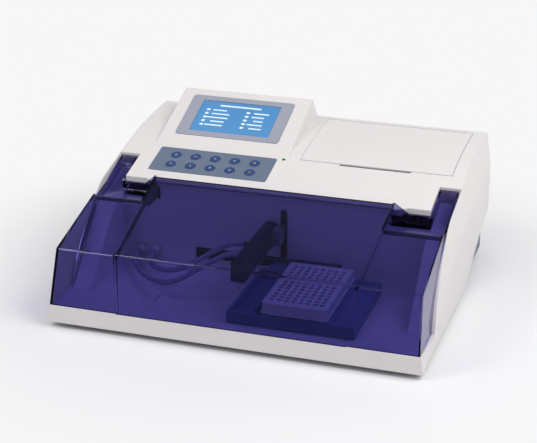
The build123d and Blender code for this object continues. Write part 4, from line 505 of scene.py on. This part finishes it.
def smooth_curve(name, route, radius):
    """A NURBS curve with the route's points as its control points."""
    curve = bpy.data.curves.new(name, "CURVE")
    curve.dimensions = "3D"
    spline = curve.splines.new("NURBS")
    spline.points.add(len(route) - 1)
    for point, spot in zip(spline.points, route):
        point.co = (*place(*spot), 1.0)
    spline.order_u = 3
    spline.use_endpoint_u = True
    spline.resolution_u = 8
    curve.bevel_depth = radius * MM
    curve.bevel_resolution = 5
    curve.use_fill_caps = True
    return bpy.data.objects.new(name, curve)


def centre_line(route):
    """Points along the route's smooth curve, in the frame."""
    thin = smooth_curve("line", route, 0.0)
    line = bpy.data.meshes.new_from_object(thin)
    points = [vertex.co.copy() for vertex in line.vertices]
    bpy.data.objects.remove(thin)
    return points


def soft_tube(name, route, node):
    """A tube mesh along a route."""
    thick = smooth_curve(name + "_curve", route, TUBE_RADIUS)
    mesh = bpy.data.meshes.new_from_object(thick)
    mesh.materials.clear()
    mesh.materials.append(tube_silicone)
    mesh.polygons.foreach_set("use_smooth", [True] * len(mesh.polygons))
    piece = bpy.data.objects.new(name, mesh)
    bpy.context.scene.collection.objects.link(piece)
    bpy.data.objects.remove(thick)
    line = centre_line(route)
    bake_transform(piece)
    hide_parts(node)


soft_tube("waste_hose", waste_route, "waste_tube")
soft_tube("wash_hose", wash_route, "wash_tube")

# %% [markdown]
# The floor is a wide pale sheet with a slight sheen, so the machine keeps its soft shadow and a hint of a
# reflection. Away from the machine the sheet turns into one even pale backdrop, as in a catalogue picture.
# The fade is only for the rays that show the sheet, also through the cover or in a mirror image. For the
# rays that carry light it stays paper.

# %% Floor
FLOOR_HALF = 7.0
FADE_START, FADE_END = 0.30, 0.58


def ramp(tree, value, start, end):
    """Zero at the start, one at the end, and a smooth step between."""
    return add(tree, "MapRange", {"Value": value, "From Min": start, "From Max": end},
               interpolation_type="SMOOTHSTEP").outputs["Result"]


def larger(tree, first, second):
    """The larger of two values."""
    return add(tree, "Math", {0: first, 1: second}, operation="MAXIMUM").outputs["Value"]


def showing(tree):
    """One for the rays that show a thing, outright, mirrored or through a clear piece, else zero."""
    ray = add(tree, "LightPath")
    outright = larger(tree, ray.outputs["Is Camera Ray"], ray.outputs["Is Glossy Ray"])
    return larger(tree, outright, ray.outputs["Is Transmission Ray"])


def paper_sweep(name):
    """Pale studio paper that fades into the plain backdrop colour away from the machine."""
    material, tree, out = blank(name)
    where = add(tree, "TexCoord").outputs["Object"]
    fibre = add(tree, "TexNoise", {"Vector": where, "Scale": 30.0, "Detail": 2.0}).outputs["Fac"]
    tone = add(tree, "MixRGB", {"Fac": fibre, "Color1": linear("#F0F0F1"), "Color2": linear("#F2F2F2")})
    surface = add(tree, "BsdfPrincipled", {
        "Base Color": tone.outputs["Color"], "Roughness": 0.22, "IOR": 1.3})
    plain = add(tree, "Emission", {"Color": linear("#F7F7F7"), "Strength": 1.0})
    reach = add(tree, "VectorMath", {0: where}, operation="LENGTH").outputs["Value"]
    fade = ramp(tree, reach, FADE_START, FADE_END)
    share = add(tree, "Math", {0: showing(tree), 1: fade}, operation="MULTIPLY").outputs["Value"]
    both = add(tree, "MixShader", {"Fac": share, 1: surface.outputs["BSDF"], 2: plain.outputs["Emission"]})
    tree.links.new(both.outputs["Shader"], out.inputs["Surface"])
    return material


floor_corners = [(right * FLOOR_HALF, back * FLOOR_HALF, 0)
                 for right, back in ((-1, -1), (1, -1), (1, 1), (-1, 1))]
floor_mesh = bpy.data.meshes.new("studio_floor")
floor_mesh.from_pydata(floor_corners, [], [(0, 1, 2, 3)])
floor_mesh.materials.append(paper_sweep("studio_paper"))
studio_floor = bpy.data.objects.new("studio_floor", floor_mesh)
bpy.context.scene.collection.objects.link(studio_floor)

# %% [markdown]
# A wide soft lamp high on the right does most of the lighting. A smaller one at the front left draws the
# bright line along the cover's crease. An even pale sky fills the shadows. What polished surfaces mirror is
# the pale backdrop low behind the machine, and the dim studio above it and around the camera. Each pair of
# limits says at which slope upwards, or towards the front, the studio starts to dim and is fully dim.

# %% Lamps and sky
MIDDLE = (0.0, 0.0, 0.08)
DIM_ABOVE = (0.15, 0.5)
DIM_IN_FRONT = (0.3, -0.3)
SKY_STRENGTH = 0.54


def soft_lamp(name, spot, target, size, power):
    """A rectangular area lamp that points at a target."""
    data = bpy.data.lights.new(name, "AREA")
    data.shape = "RECTANGLE"
    data.size, data.size_y = size
    data.energy = power
    lamp = bpy.data.objects.new(name, data)
    lamp.location = spot
    lamp.rotation_euler = (Vector(target) - Vector(spot)).to_track_quat("-Z", "Y").to_euler()
    bpy.context.scene.collection.objects.link(lamp)


soft_lamp("right_key_lamp", (1.1, -0.2, 1.6), MIDDLE, size=(1.2, 1.2), power=19.5)
soft_lamp("crease_lamp", (-1.0, -0.9, 1.5), MIDDLE, size=(0.6, 1.0), power=9.0)

world = bpy.data.worlds.new("pale_sky")
world.use_nodes = True
bpy.context.scene.world = world
sky = world.node_tree
sky.nodes.clear()
way = add(sky, "SeparateXYZ", {"Vector": add(sky, "TexCoord").outputs["Generated"]})
dim = larger(sky, ramp(sky, way.outputs["Z"], *DIM_ABOVE), ramp(sky, way.outputs["Y"], *DIM_IN_FRONT))
studio = add(sky, "MixRGB", {"Fac": dim, "Color1": linear("#FAFAFA"), "Color2": linear("#5A5A66")})
light = add(sky, "Background", {"Color": linear("#FAFAFF"), "Strength": SKY_STRENGTH})
shown = add(sky, "Background", {"Color": studio.outputs["Color"], "Strength": 1.0})
blend = add(sky, "MixShader", {
    "Fac": showing(sky), 1: light.outputs["Background"], 2: shown.outputs["Background"]})
add(sky, "OutputWorld", {"Surface": blend.outputs["Shader"]})
bpy.context.scene.view_settings.view_transform = "Standard"
